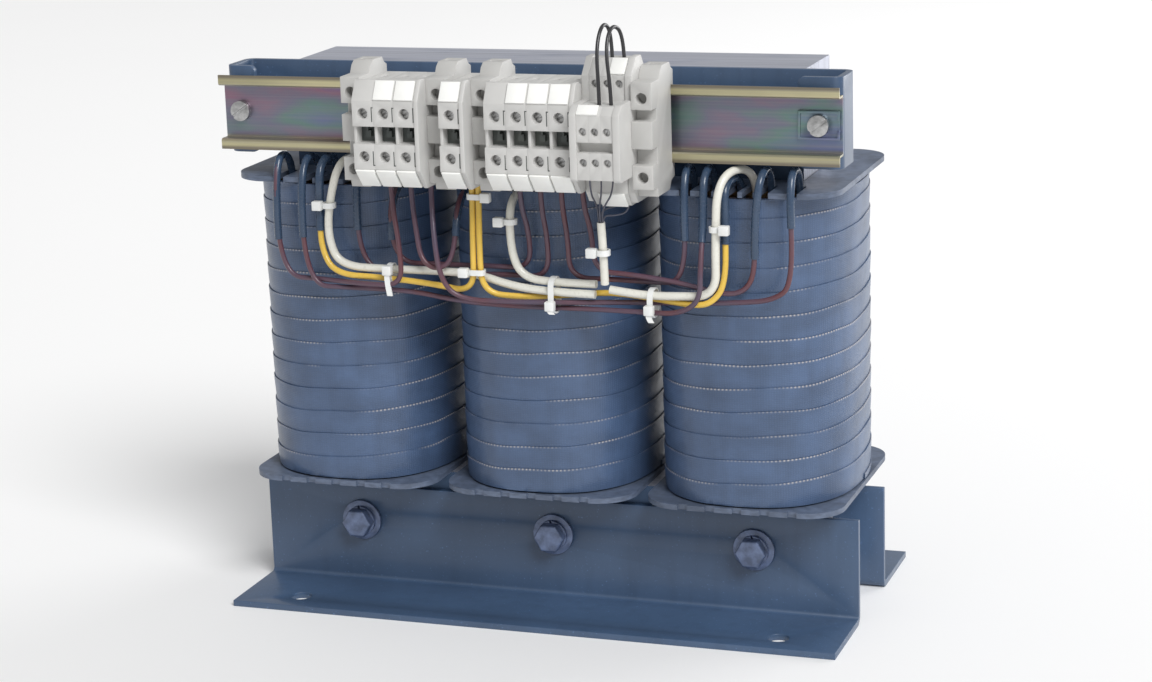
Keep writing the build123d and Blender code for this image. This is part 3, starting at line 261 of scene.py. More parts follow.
class StageSetting(bpy.types.PropertyGroup):
    """Floor and light"""

    floor: colour_property("Floor", "Colour of the plain floor", (0.93, 0.93, 0.93))
    sky: bpy.props.FloatProperty(
        name="Sky", description="Strength of the even white surroundings", default=0.42, min=0.0, max=5.0)
    key: bpy.props.FloatProperty(
        name="Key light", description="Strength of the broad key light from the front and the right",
        default=2.5, min=0.0, max=20.0)
    rim: bpy.props.FloatProperty(
        name="Rim light", description="Power of the light behind the right side, in watts",
        default=28.0, min=0.0, max=500.0)


# ---------------------------------------------------------------- node helpers
def start_material(name, roughness, metallic=0.0):
    """a node material: itself, its tree, its shader and its object coordinates"""
    made = bpy.data.materials.new(name)
    made.use_nodes = True
    tree = made.node_tree
    shader = tree.nodes["Principled BSDF"]
    shader.inputs["Roughness"].default_value = roughness
    shader.inputs["Metallic"].default_value = metallic
    place = tree.nodes.new("ShaderNodeTexCoord").outputs["Object"]
    return made, tree, shader, place


def stretched(tree, vector, scale):
    """the coordinates scaled along each axis"""
    node = tree.nodes.new("ShaderNodeMapping")
    node.inputs["Scale"].default_value = scale
    tree.links.new(vector, node.inputs["Vector"])
    return node.outputs["Vector"]


def mottle(tree, vector, scale, detail=3.0):
    """soft random patches, 0 to 1"""
    node = tree.nodes.new("ShaderNodeTexNoise")
    node.inputs["Scale"].default_value = scale
    node.inputs["Detail"].default_value = detail
    tree.links.new(vector, node.inputs["Vector"])
    return node.outputs["Fac"]


def ribs(tree, vector, spacing, direction, distortion=0.0):
    """even waves that far apart along X, Y or Z, 0 to 1"""
    node = tree.nodes.new("ShaderNodeTexWave")
    node.bands_direction = direction
    node.inputs["Scale"].default_value = math.pi / 10 / spacing
    node.inputs["Distortion"].default_value = distortion
    tree.links.new(vector, node.inputs["Vector"])
    return node.outputs["Fac"]


def span(tree, value, low, high, start=0.0, end=1.0):
    """value from start..end turned into low..high"""
    node = tree.nodes.new("ShaderNodeMapRange")
    node.inputs["From Min"].default_value = start
    node.inputs["From Max"].default_value = end
    node.inputs["To Min"].default_value = low
    node.inputs["To Max"].default_value = high
    tree.links.new(value, node.inputs["Value"])
    return node.outputs["Result"]


def combine(tree, first, second, way):
    """two values added, multiplied and so on"""
    node = tree.nodes.new("ShaderNodeMath")
    node.operation = way
    tree.links.new(first, node.inputs[0])
    if hasattr(second, "is_output"):
        tree.links.new(second, node.inputs[1])
    else:
        node.inputs[1].default_value = second
    return node.outputs["Value"]


def blend_colours(tree, share, first, second, way="MIX"):
    """first colour to second colour by share; each is a colour or a socket"""
    node = tree.nodes.new("ShaderNodeMix")
    node.data_type = "RGBA"
    node.blend_type = way
    tree.links.new(share, node.inputs["Factor"])
    for socket, colour in ((node.inputs[6], first), (node.inputs[7], second)):
        if hasattr(colour, "is_output"):
            tree.links.new(colour, socket)
        else:
            socket.default_value = (*colour, 1.0)
    return node.outputs[2]


def colour_steps(tree, value, steps):
    """a smooth run of colours: steps are (place, colour)"""
    node = tree.nodes.new("ShaderNodeValToRGB")
    ramp = node.color_ramp
    while len(ramp.elements) < len(steps):
        ramp.elements.new(0.5)
    for element, (place, colour) in zip(ramp.elements, steps):
        element.position = place
        element.color = (*colour, 1.0)
    tree.links.new(value, node.inputs["Fac"])
    return node.outputs["Color"]


def raise_surface(tree, shader, height, distance, strength=1.0):
    """bump of that height in metres"""
    node = tree.nodes.new("ShaderNodeBump")
    node.inputs["Distance"].default_value = distance
    node.inputs["Strength"].default_value = strength
    tree.links.new(height, node.inputs["Height"])
    tree.links.new(node.outputs["Normal"], shader.inputs["Normal"])


def shade(colour, factor):
    """a colour made darker or lighter"""
    return tuple(min(part * factor, 1.0) for part in colour)


def two_tones(tree, value, colour, factors, start, end):
    """a darker and a lighter shade of one colour, as value goes from start to end"""
    darker, lighter = (shade(colour, factor) for factor in factors)
    return blend_colours(tree, span(tree, value, 0.0, 1.0, start, end), darker, lighter)


# ---------------------------------------------------------------- finishes
def varnished_tape(settings):
    """woven tape soaked in glossy blue varnish, pale along its woven edge, where the pale colour is also a
    painted highlight of the light catching each turn's upper edge
    """
    colour = tuple(settings.colour)
    made, tree, shader, place = start_material("varnished tape", 0.42)
    weave_place = tree.nodes.new("ShaderNodeUVMap")
    weave_place.uv_map = "along_tape"
    along = weave_place.outputs["UV"]
    warp = ribs(tree, along, 1.1 * MM, "X", 1.5)
    weft = ribs(tree, along, 0.9 * MM, "Y", 1.5)
    weave = combine(tree, warp, weft, "MULTIPLY")
    patches = mottle(tree, stretched(tree, place, (1.0, 1.0, 1.8)), 38.0, 4.0)
    runs = mottle(tree, stretched(tree, place, (3.0, 3.0, 0.5)), 45.0, 3.0)
    tone = two_tones(tree, patches, colour, (0.78, 1.22), 0.3, 0.7)
    tone = blend_colours(tree, span(tree, runs, 0.0, 0.5, 0.45, 0.8), tone, shade(colour, 0.6))
    tone = blend_colours(tree, span(tree, weave, 0.0, 0.16), tone, shade(colour, 1.9))
    # pale spots along each turn's upper edge: the woven edge's own paleness plus a painted highlight of the
    # light catching that edge
    edge = tree.nodes.new("ShaderNodeAttribute")
    edge.attribute_name = "selvage_highlight"
    spots = mottle(tree, place, 26.0, 2.0)
    edge_highlight_mask = combine(tree, edge.outputs["Fac"], span(tree, spots, 0.0, 1.0, 0.44, 0.60), "MULTIPLY")
    stitches = ribs(tree, along, 1.7 * MM, "X", 0.6)
    edge_highlight_mask = combine(tree, edge_highlight_mask, span(tree, stitches, 0.15, 1.0, 0.3, 0.8), "MULTIPLY")
    tone = blend_colours(tree, edge_highlight_mask, tone, tuple(settings.selvage_highlight))
    tree.links.new(tone, shader.inputs["Base Color"])
    gloss = span(tree, mottle(tree, place, 60.0, 4.0), 0.34, 0.55)
    tree.links.new(gloss, shader.inputs["Roughness"])
    shader.inputs["Coat Weight"].default_value = 0.35
    shader.inputs["Coat Roughness"].default_value = 0.22
    cloth = combine(tree, weave, 0.35, "MULTIPLY")
    lumps = combine(tree, mottle(tree, place, 160.0, 3.0), 0.65, "MULTIPLY")
    raise_surface(tree, shader, combine(tree, cloth, lumps, "ADD"), 0.30 * MM, 0.8)
    return made


def frame_varnish(settings):
    """dark blue varnish over folded steel, with runs and thin spots"""
    colour = tuple(settings.varnish)
    made, tree, shader, place = start_material("frame varnish", 0.38)
    clouds = mottle(tree, stretched(tree, place, (1.0, 1.0, 1.6)), 14.0, 4.0)
    tone = two_tones(tree, clouds, colour, (0.86, 1.16), 0.3, 0.7)
    drips = mottle(tree, stretched(tree, place, (2.6, 2.6, 0.35)), 55.0, 3.0)
    tone = blend_colours(tree, span(tree, drips, 0.0, 0.45, 0.5, 0.8), tone, shade(colour, 0.72))
    dust = mottle(tree, place, 900.0, 2.0)
    tone = blend_colours(tree, span(tree, dust, 0.0, 0.5, 0.66, 0.76), tone, shade(colour, 2.6))
    tree.links.new(tone, shader.inputs["Base Color"])
    tree.links.new(span(tree, clouds, 0.30, 0.46), shader.inputs["Roughness"])
    shader.inputs["Coat Weight"].default_value = 0.3
    shader.inputs["Coat Roughness"].default_value = 0.18
    peel = combine(tree, mottle(tree, place, 260.0, 3.0), drips, "ADD")
    raise_surface(tree, shader, peel, 0.10 * MM, 0.6)
    return made


def core_sheets(settings):
    """the edges of thin core sheets stacked along Y, with their front and back faces darker, in a darkened
    frame varnish colour
    """
    colour = tuple(settings.lamination)
    made, tree, shader, place = start_material("core sheets", 0.42, 0.55)
    single = mottle(tree, stretched(tree, place, (6.0, 1500.0, 6.0)), 1.0, 2.0)
    packs = mottle(tree, stretched(tree, place, (4.0, 330.0, 4.0)), 1.0, 2.0)
    tone = two_tones(tree, single, colour, (0.78, 1.1), 0.35, 0.65)
    tone = blend_colours(tree, span(tree, packs, 0.0, 0.6, 0.5, 0.75), tone, shade(colour, 0.62))
    stains = mottle(tree, stretched(tree, place, (1.0, 3.0, 1.0)), 22.0, 4.0)
    tone = blend_colours(tree, span(tree, stains, 0.0, 0.55, 0.56, 0.75), tone, (0.22, 0.25, 0.34))
    # the front and back faces are turned to a darker shade of the frame varnish colour
    axis = tree.nodes.new("ShaderNodeSeparateXYZ")
    tree.links.new(place, axis.inputs["Vector"])
    depth = combine(tree, axis.outputs["Y"], 1.0, "ABSOLUTE")
    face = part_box("core_top_yoke")[1][1]
    broad = span(tree, depth, 0.0, 1.0, face - 0.3 * MM, face)
    tone = blend_colours(tree, broad, tone, shade(tuple(settings.varnish), 0.8))
    tree.links.new(tone, shader.inputs["Base Color"])
    tree.links.new(span(tree, stains, 0.34, 0.55), shader.inputs["Roughness"])
    raise_surface(tree, shader, combine(tree, single, packs, "ADD"), 0.20 * MM, 0.7)
    return made


def bolt_zinc(settings):
    """zinc plated steel dulled by a thin coat of varnish"""
    colour = tuple(settings.bolt)
    made, tree, shader, place = start_material("bolt zinc", 0.36, 0.45)
    wear = mottle(tree, place, 210.0, 4.0)
    tone = two_tones(tree, wear, colour, (0.7, 1.5), 0.35, 0.7)
    tree.links.new(tone, shader.inputs["Base Color"])
    tree.links.new(span(tree, wear, 0.28, 0.5), shader.inputs["Roughness"])
    shader.inputs["Coat Weight"].default_value = 0.4
    raise_surface(tree, shader, mottle(tree, place, 700.0, 2.0), 0.06 * MM, 0.6)
    return made


def rail_zinc(settings):
    """yellow passivated zinc: gold lips, each lighter next to its bend and darker at its outer edge as painted
    highlight and shade, and a web that plays from violet to green along its length
    """
    made, tree, shader, place = start_material("rail zinc", 0.34, 0.8)
    axis = tree.nodes.new("ShaderNodeSeparateXYZ")
    tree.links.new(place, axis.inputs["Vector"])
    low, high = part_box("din_rail")
    middle = (low[2] + high[2]) / 2
    from_middle = combine(tree, combine(tree, axis.outputs["Z"], middle, "SUBTRACT"), 1.0, "ABSOLUTE")
    play = mottle(tree, stretched(tree, place, (1.0, 5.0, 3.2)), 13.0, 4.0)
    web = tuple(settings.zinc_web)
    tints = colour_steps(tree, play, (
        (0.30, (web[0] * 1.00, web[1] * 0.84, web[2] * 1.15)),
        (0.40, (web[0] * 1.55, web[1] * 0.88, web[2] * 0.90)),
        (0.50, web),
        (0.57, (web[0] * 0.80, web[1] * 1.30, web[2] * 0.88)),
        (0.68, (web[0] * 0.88, web[1] * 1.02, web[2] * 1.30))))
    lip = tuple(settings.zinc_lip)
    lip_tint_and_highlight = blend_colours(tree, span(tree, play, 0.0, 1.0, 0.35, 0.65), lip, shade(lip, 0.72))
    # painted shade and highlight: each lip is darkened towards its outer edge, so its gold next to the bend
    # reads as a highlight along the bend
    lip_outer_painted_shade = span(tree, from_middle, 0.0, 1.0, 15.4 * MM, 16.6 * MM)
    lip_tint_and_highlight = blend_colours(tree, lip_outer_painted_shade, lip_tint_and_highlight, (lip[0] * 0.36, lip[1] * 0.34, lip[2] * 0.40))
    on_lip = span(tree, from_middle, 0.0, 1.0, 11.0 * MM, 13.8 * MM)
    tone = blend_colours(tree, on_lip, tints, lip_tint_and_highlight)
    grain = mottle(tree, stretched(tree, place, (8.0, 900.0, 900.0)), 1.0, 2.0)
    tone = blend_colours(tree, span(tree, grain, 0.0, 0.35, 0.4, 0.75), tone, (0.30, 0.29, 0.30))
    tree.links.new(tone, shader.inputs["Base Color"])
    tree.links.new(span(tree, grain, 0.28, 0.42), shader.inputs["Roughness"])
    raise_surface(tree, shader, grain, 0.03 * MM, 0.7)
    return made


def small_zinc(settings, name="screw zinc"):
    """bright zinc of small screws and of the earth saddle"""
    colour = tuple(settings.screw)
    made, tree, shader, place = start_material(name, 0.3, 0.9)
    wear = mottle(tree, place, 420.0, 3.0)
    tone = two_tones(tree, wear, colour, (0.72, 1.15), 0.35, 0.7)
    tree.links.new(tone, shader.inputs["Base Color"])
    tree.links.new(span(tree, wear, 0.24, 0.42), shader.inputs["Roughness"])
    raise_surface(tree, shader, wear, 0.04 * MM, 0.6)
    return made


def moulded(name, colour, roughness=0.46):
    """moulded plastic with a fine sparked skin"""
    made, tree, shader, place = start_material(name, roughness)
    clouds = mottle(tree, place, 90.0, 3.0)
    tone = two_tones(tree, clouds, colour, (0.955, 1.03), 0.3, 0.7)
    tree.links.new(tone, shader.inputs["Base Color"])
    skin = mottle(tree, place, 2600.0, 2.0)
    tree.links.new(span(tree, skin, roughness - 0.05, roughness + 0.07), shader.inputs["Roughness"])
    shader.inputs["Subsurface Weight"].default_value = 0.08
    shader.inputs["Subsurface Radius"].default_value = (1.2 * MM, 1.1 * MM, 1.0 * MM)
    shader.inputs["Subsurface Scale"].default_value = 1.0
    raise_surface(tree, shader, skin, 0.02 * MM, 0.7)
    return made


def insulation(name, colour, second=None, roughness=0.36):
    """extruded insulation with slight bends of tone along it"""
    made, tree, shader, place = start_material(name, roughness)
    drift = mottle(tree, place, 30.0, 3.0)
    other = second if second else shade(colour, 0.82)
    tone = blend_colours(tree, span(tree, drift, 0.0, 1.0, 0.36, 0.64), colour, other)
    specks = mottle(tree, place, 700.0, 2.0)
    tone = blend_colours(tree, span(tree, specks, 0.0, 0.35, 0.55, 0.8), tone, shade(colour, 0.55))
    tree.links.new(tone, shader.inputs["Base Color"])
    tree.links.new(span(tree, specks, roughness - 0.06, roughness + 0.1), shader.inputs["Roughness"])
    shader.inputs["Coat Weight"].default_value = 0.15
    raise_surface(tree, shader, specks, 0.03 * MM, 0.7)
    return made


def pressed_board(name, colour):
    """pressed board soaked in varnish, for the coil formers and the bolt sleeves"""
    made, tree, shader, place = start_material(name, 0.5)
    fibres = mottle(tree, stretched(tree, place, (1.0, 1.0, 3.0)), 240.0, 4.0)
    tone = two_tones(tree, fibres, colour, (0.75, 1.2), 0.3, 0.7)
    pools = mottle(tree, place, 45.0, 3.0)
    tone = blend_colours(tree, span(tree, pools, 0.0, 0.6, 0.5, 0.7), tone, shade(colour, 0.45))
    tree.links.new(tone, shader.inputs["Base Color"])
    tree.links.new(span(tree, pools, 0.3, 0.6), shader.inputs["Roughness"])
    raise_surface(tree, shader, fibres, 0.10 * MM, 0.8)
    return made


def wound_wire(name, colour):
    """layers of enamelled wire, seen as fine ribs one above another, with painted shade in the grooves between
    turns
    """
    made, tree, shader, place = start_material(name, 0.35, 0.7)
    turns = ribs(tree, place, 2.1 * MM, "Z")
    # painted shade: each groove between turns is darkened to under half the wire's colour
    tone = blend_colours(tree, span(tree, turns, 0.0, 1.0), shade(colour, 0.45), colour)
    tree.links.new(tone, shader.inputs["Base Color"])
    tree.links.new(span(tree, mottle(tree, place, 120.0), 0.28, 0.45), shader.inputs["Roughness"])
    raise_surface(tree, shader, turns, 0.5 * MM, 0.9)
    return made


# ---------------------------------------------------------------- mesh helpers
def show(name, mesh, finish, replaced=()):
    """a finished piece in its place, riding on the part"""
    piece = bpy.data.objects.new(name, mesh)
    bpy.context.scene.collection.objects.link(piece)
    mesh.materials.clear()
    mesh.materials.append(finish)
    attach(piece, "root")
    if replaced:
        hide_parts(*replaced)
    return piece


def mesh_from(name, shape, smooth_angle=38.0):
    """the bmesh as mesh data, smooth but for its sharp edges"""
    mesh = bpy.data.meshes.new(name)
    shape.to_mesh(mesh)
    shape.free()
    for face in mesh.polygons:
        face.use_smooth = True
    mesh.set_sharp_from_angle(angle=math.radians(smooth_angle))
    return mesh


def node_shape(node):
    """a CAD node's mesh to work on, with its points joined"""
    shape = bmesh.new()
    shape.from_mesh(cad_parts[node].data)
    bmesh.ops.remove_doubles(shape, verts=shape.verts, dist=JOINED)
    return shape


def softened(node, edge, finish, sharp_angle=28.0):
    """stands for a CAD node, with the same shape and its sharp edges rounded"""
    shape = node_shape(node)
    bmesh.ops.dissolve_limit(shape, angle_limit=math.radians(1.0), verts=shape.verts, edges=shape.edges,
                             use_dissolve_boundaries=False)
    hard = [e for e in shape.edges if e.is_manifold and e.calc_face_angle() > math.radians(sharp_angle)]
    bmesh.ops.bevel(shape, geom=hard, offset=edge, offset_type="OFFSET", segments=2, profile=0.5,
                    affect="EDGES", clamp_overlap=True, material=-1)
    return show(f"{node}_finished", mesh_from(node, shape), finish, (node,))


def finish_node(node, finish):
    """a CAD node that keeps its shape and gets its finish"""
    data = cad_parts[node].data
    data.materials.clear()
    data.materials.append(finish)


def wire(name, points, diameter, finish, replaced):
    """a smooth wire with the route's points as its control points"""
    curve = bpy.data.curves.new(name, "CURVE")
    curve.dimensions = "3D"
    curve.bevel_depth = diameter / 2
    curve.bevel_resolution = 5
    curve.resolution_u = 10
    curve.use_fill_caps = True
    spline = curve.splines.new("NURBS")
    spline.points.add(len(points) - 1)
    for control, place in zip(spline.points, points):
        control.co = (*place, 1.0)
    spline.order_u = 3
    spline.use_endpoint_u = True
    piece = bpy.data.objects.new(name, curve)
    bpy.context.scene.collection.objects.link(piece)
    curve.materials.append(finish)
    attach(piece, "root")
    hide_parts(replaced)
    return piece


# ---------------------------------------------------------------- one operator for each piece or group
class BuildOperator:
    """What the operators below share"""

    bl_options = {"REGISTER", "UNDO"}


class TRANSFORMER_OT_core(BuildOperator, bpy.types.Operator):
    """Finish the core's stacks of thin sheets"""

    bl_idname = "transformer.core"
    bl_label = "Laminated core"

    def execute(self, context):
        sheets = core_sheets(context.scene.steelwork)
        for node in ("core_e_stack", "core_top_yoke"):
            finish_node(node, sheets)
        return {"FINISHED"}


class TRANSFORMER_OT_clamps(BuildOperator, bpy.types.Operator):
    """Varnish the bottom angles and the top clamps, with their edges rounded"""

    bl_idname = "transformer.clamps"
    bl_label = "Clamps and bottom angles"

    def execute(self, context):
        steel = context.scene.steelwork
        varnish = frame_varnish(steel)
        for node in ("front_bottom_angle", "rear_bottom_angle", "front_top_clamp"):
            softened(node, steel.edge, varnish)
        rear_bar(varnish)
        return {"FINISHED"}


def rear_bar(varnish):
    """the rear clamp as a flat bar behind the stack, which ends with the top yoke and stays below its top"""
    yoke_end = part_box("core_top_yoke")[1]
    shape = node_shape("rear_top_clamp")
    end = yoke_end[0] - 1.0 * MM
    top = yoke_end[2] - 1.0 * MM
    for place, way in (((end, 0, 0), (1, 0, 0)), ((-end, 0, 0), (-1, 0, 0)), ((0, 0, top), (0, 0, 1))):
        whole = shape.verts[:] + shape.edges[:] + shape.faces[:]
        cut = bmesh.ops.bisect_plane(shape, geom=whole, dist=1e-7, plane_co=place, plane_no=way,
                                     clear_outer=True)
        rim = [piece for piece in cut["geom_cut"] if isinstance(piece, bmesh.types.BMEdge)]
        bmesh.ops.edgeloop_fill(shape, edges=rim)
    bmesh.ops.recalc_face_normals(shape, faces=shape.faces)
    show("rear_top_clamp_finished", mesh_from("rear_top_clamp", shape), varnish,
         ("rear_top_clamp",))


class TRANSFORMER_OT_yoke_bolts(BuildOperator, bpy.types.Operator):
    """Finish the bolts through the yokes, their washers, nuts and sleeves"""

    bl_idname = "transformer.yoke_bolts"
    bl_label = "Yoke bolts"

    def execute(self, context):
        steel = context.scene.steelwork
        zinc = bolt_zinc(steel)
        for node in ("yoke_bolts", "yoke_nuts"):
            softened(node, steel.edge, zinc)
        for node in ("yoke_washers", "yoke_spring_washers"):
            softened(node, steel.edge / 2, zinc)
        finish_node("yoke_bolt_sleeves", pressed_board("bolt sleeve board", (0.42, 0.33, 0.20)))
        return {"FINISHED"}


class TRANSFORMER_OT_windings(BuildOperator, bpy.types.Operator):
    """Finish the coil formers, the windings and the paper between them"""

    bl_idname = "transformer.windings"
    bl_label = "Formers and windings"

    def execute(self, context):
        board = pressed_board("former board", (0.105, 0.135, 0.20))
        copper = wound_wire("winding wire", (0.62, 0.30, 0.16))
        paper = pressed_board("layer paper", (0.48, 0.38, 0.22))
        for side in SIDES:
            finish_node(f"coil_former_{side}", board)
            finish_node(f"inner_winding_{side}", copper)
            under_tape(side, copper)
            finish_node(f"layer_insulation_{side}", paper)
        return {"FINISHED"}


def taped_coil(side):
    """a taped coil's lower and upper corner, its middle and half its size"""
    low, high = (Vector(corner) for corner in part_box(f"tape_wrap_{side}"))
    return low, high, (low + high) / 2, (high - low) / 2


def under_tape(side, finish):
    """the outer winding, with its corners drawn in under the tape"""
    node = f"outer_winding_{side}"
    _, _, middle, half = taped_coil(side)
    shape = node_shape(node)
    for vert in shape.verts:
        angle = math.atan2(vert.co.y - middle.y, vert.co.x - middle.x)
        most = coil_reach(half, angle) - UNDER_TAPE
        share = min(1.0, most / math.hypot(vert.co.x - middle.x, vert.co.y - middle.y))
        vert.co.x = middle.x + (vert.co.x - middle.x) * share
        vert.co.y = middle.y + (vert.co.y - middle.y) * share
    bmesh.ops.recalc_face_normals(shape, faces=shape.faces)
    show(f"{node}_finished", mesh_from(node, shape), finish, (node,))


def tape_ribbon(side, settings):
    """one long ribbon wound up the coil, each turn lapping over the foot of the next"""
    low, high, middle, half = taped_coil(side)
    bottom = low.z - PAST_WRAP
    top = high.z + PAST_WRAP
    turns = math.ceil((top - bottom) / settings.pitch) + 2
    hub = 50 * MM
    ribbon = bmesh.new()
    # marks each turn's upper edge, where the pale edge colour and its painted highlight go
    selvage_highlight = ribbon.verts.layers.float.new("selvage_highlight")
    rise = (0.0, 0.25, 0.5, 0.75, 1.0 - 0.9 * MM / settings.width, 1.0)
    outer = [(settings.lean * (f - 1.0) - 0.10 * MM * (2 * f - 1) ** 2, f) for f in rise]
    inner = [(x - settings.thickness, f) for x, f in reversed(outer)]
    corners = []
    for x, f in outer + inner:
        corner = ribbon.verts.new((hub + x, 0.0, bottom - settings.pitch + f * settings.width))
        corner[selvage_highlight] = 1.0 if f == 1.0 else 0.0
        corners.append(corner)
    for first, second in zip(corners, corners[1:] + corners[:1]):
        ribbon.edges.new((first, second))
    bmesh.ops.spin(ribbon, geom=ribbon.verts[:] + ribbon.edges[:], cent=(0, 0, 0), axis=(0, 0, 1),
                   dvec=(0, 0, settings.pitch / TURN_STEPS), angle=math.tau, steps=TURN_STEPS,
                   use_merge=False, use_duplicate=False)
    turn = ribbon.verts[:] + ribbon.edges[:] + ribbon.faces[:]
    for number in range(1, turns):
        copied = bmesh.ops.duplicate(ribbon, geom=turn)
        risen = [piece for piece in copied["geom"] if isinstance(piece, bmesh.types.BMVert)]
        bmesh.ops.translate(ribbon, vec=(0, 0, number * settings.pitch), verts=risen)
    bmesh.ops.remove_doubles(ribbon, verts=ribbon.verts, dist=1e-6)
    bmesh.ops.edgeloop_fill(ribbon, edges=[edge for edge in ribbon.edges if edge.is_boundary])
    bmesh.ops.recalc_face_normals(ribbon, faces=ribbon.faces)
    lay_along(ribbon, settings.pitch, (high.x - low.x + high.y - low.y) / 4)
    for vert in ribbon.verts:
        angle = math.atan2(vert.co.y, vert.co.x)
        out = math.hypot(vert.co.x, vert.co.y) - hub - 0.2 * MM
        spot = Vector((2.2 * math.cos(angle), 2.2 * math.sin(angle), 55.0 * vert.co.z + 7.0 * middle.x))
        out += 0.2 * MM * noise.noise(spot * 1.7)
        height = vert.co.z + settings.wander * noise.noise(spot)
        if height < bottom:
            height = bottom - 0.02 * (bottom - height)
        if height > top:
            height = top + 0.02 * (height - top)
        out += coil_reach(half, angle)
        vert.co = (middle.x + out * math.cos(angle), middle.y + out * math.sin(angle), height)
    return ribbon


def coil_reach(half, angle):
    """how far the taped coil reaches from its middle line in one direction"""
    across = abs(math.cos(angle)) / half.x
    along = abs(math.sin(angle)) / half.y
    return (across ** ROUNDNESS + along ** ROUNDNESS) ** (-1 / ROUNDNESS)


def lay_along(ribbon, pitch, radius):
    """UVs in metres that run along the tape and across it"""
    layer = ribbon.loops.layers.uv.new("along_tape")
    for face in ribbon.faces:
        centre = face.calc_center_median()
        facing = math.atan2(centre.y, centre.x)
        for corner in face.loops:
            turned = math.atan2(corner.vert.co.y, corner.vert.co.x) - facing
            angle = facing + (turned + math.pi) % math.tau - math.pi
            corner[layer].uv = (angle * radius, corner.vert.co.z - pitch * angle / math.tau)


class TRANSFORMER_OT_tape(BuildOperator, bpy.types.Operator):
    """Wind woven tape round each coil and varnish it"""

    bl_idname = "transformer.tape"
    bl_label = "Coil tape"

    def execute(self, context):
        tape = varnished_tape(context.scene.coil_tape)
        for side in SIDES:
            mesh = mesh_from(f"coil_tape_{side}", tape_ribbon(side, context.scene.coil_tape), 50.0)
            show(f"coil_tape_{side}", mesh, tape, (f"tape_wrap_{side}",))
        return {"FINISHED"}


class TRANSFORMER_OT_rail(BuildOperator, bpy.types.Operator):
    """Finish the rail, its screws and the earth saddle"""

    bl_idname = "transformer.rail"
    bl_label = "Rail"

    def execute(self, context):
        finish_node("din_rail", rail_zinc(context.scene.steelwork))
        zinc = small_zinc(context.scene.terminal_colours, "rail screw zinc")
        softened("rail_screws", 0.2 * MM, zinc)
        softened("earth_saddle", 0.2 * MM, rail_zinc(context.scene.steelwork))
        return {"FINISHED"}


class TRANSFORMER_OT_terminals(BuildOperator, bpy.types.Operator):
    """Mould the rail terminals, with their plates, screws and contact metal"""

    bl_idname = "transformer.terminals"
    bl_label = "Terminals"

    def execute(self, context):
        colours = context.scene.terminal_colours
        grey = moulded("terminal moulding", tuple(colours.moulding))
        for number in TERMINALS:
            softened(f"terminal_{number}", colours.edge, grey)
        softened("terminal_end_plates", colours.edge, grey)
        zinc = small_zinc(colours, "terminal screw zinc")
        softened("terminal_screws", 0.12 * MM, zinc)
        finish_node("terminal_current_bars", small_zinc(colours, "contact metal"))
        contact_windows(colours)
        return {"FINISHED"}


def box(shape, low, high):
    """a block between two corners, added to the bmesh"""
    centre = (Vector(low) + Vector(high)) / 2
    size = Vector(high) - Vector(low)
    made = bmesh.ops.create_cube(shape, size=1.0)
    bmesh.ops.scale(shape, vec=size, verts=made["verts"])
    bmesh.ops.translate(shape, vec=centre, verts=made["verts"])
    return made["verts"]


def contact_windows(colours):
    """the contact metal behind each terminal's middle window, near black as painted shade inside the window,
    and near-black strips just proud of the face as painted shadow in the slit between neighbours
    """
    metal = bmesh.new()
    slit_shadows = bmesh.new()
    wide, tall, foot_wide, deep = 0.45 * MM, 6.6 * MM, 1.0 * MM, 0.2 * MM
    for number in TERMINALS:
        low, high = (Vector(corner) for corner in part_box(f"terminal_{number}"))
        floor = low.y + 6.9 * MM
        sill = low.z + 20.1 * MM
        head = sill + 8.0 * MM
        left = low.x + 1.6 * MM
        right = high.x - 0.5 * MM
        # painted shade: near-black boxes for the contact metal deep in the window
        box(metal, (left, floor - 0.35 * MM, sill + 0.4 * MM), (right, floor + 0.05 * MM, head - 0.4 * MM))
        middle = (left + right) / 2
        box(metal, (middle - 1.3 * MM, floor - 2.2 * MM, sill + 2.6 * MM),
            (middle + 1.3 * MM, floor - 0.3 * MM, head - 2.4 * MM))
        box(metal, (middle - 0.4 * MM, floor - 3.0 * MM, head - 2.6 * MM),
            (middle + 0.4 * MM, floor - 0.3 * MM, head - 0.3 * MM))
        # painted shadow: near-black strips where the slits between neighbours are, not cut into the moulding
        for bottom, up in ((low.z + 10.4 * MM, False), (head + 2.2 * MM, True)):
            front = low.y - 0.03 * MM
            slit = high.x - 0.75 * MM
            box(slit_shadows, (slit, front, bottom), (slit + wide, front + deep, bottom + tall))
            foot = bottom + tall - wide if up else bottom
            box(slit_shadows, (slit, front, foot), (slit + foot_wide, front + deep, foot + wide))
    dark = insulation("window shadow", (0.035, 0.045, 0.045), (0.07, 0.08, 0.07), 0.4)
    show("contact_metal_in_shade", mesh_from("contact_metal_in_shade", metal), dark)
    show("terminal_slit_shadows", mesh_from("terminal_slit_shadows", slit_shadows), dark)


class TRANSFORMER_OT_end_brackets(BuildOperator, bpy.types.Operator):
    """Mould the end brackets that hold the terminals on the rail"""

    bl_idname = "transformer.end_brackets"
    bl_label = "End brackets"

    def execute(self, context):
        colours = context.scene.terminal_colours
        grey = moulded("bracket moulding", tuple(colours.bracket))
        for number in BRACKETS:
            softened(f"end_bracket_{number}", colours.edge, grey)
        return {"FINISHED"}


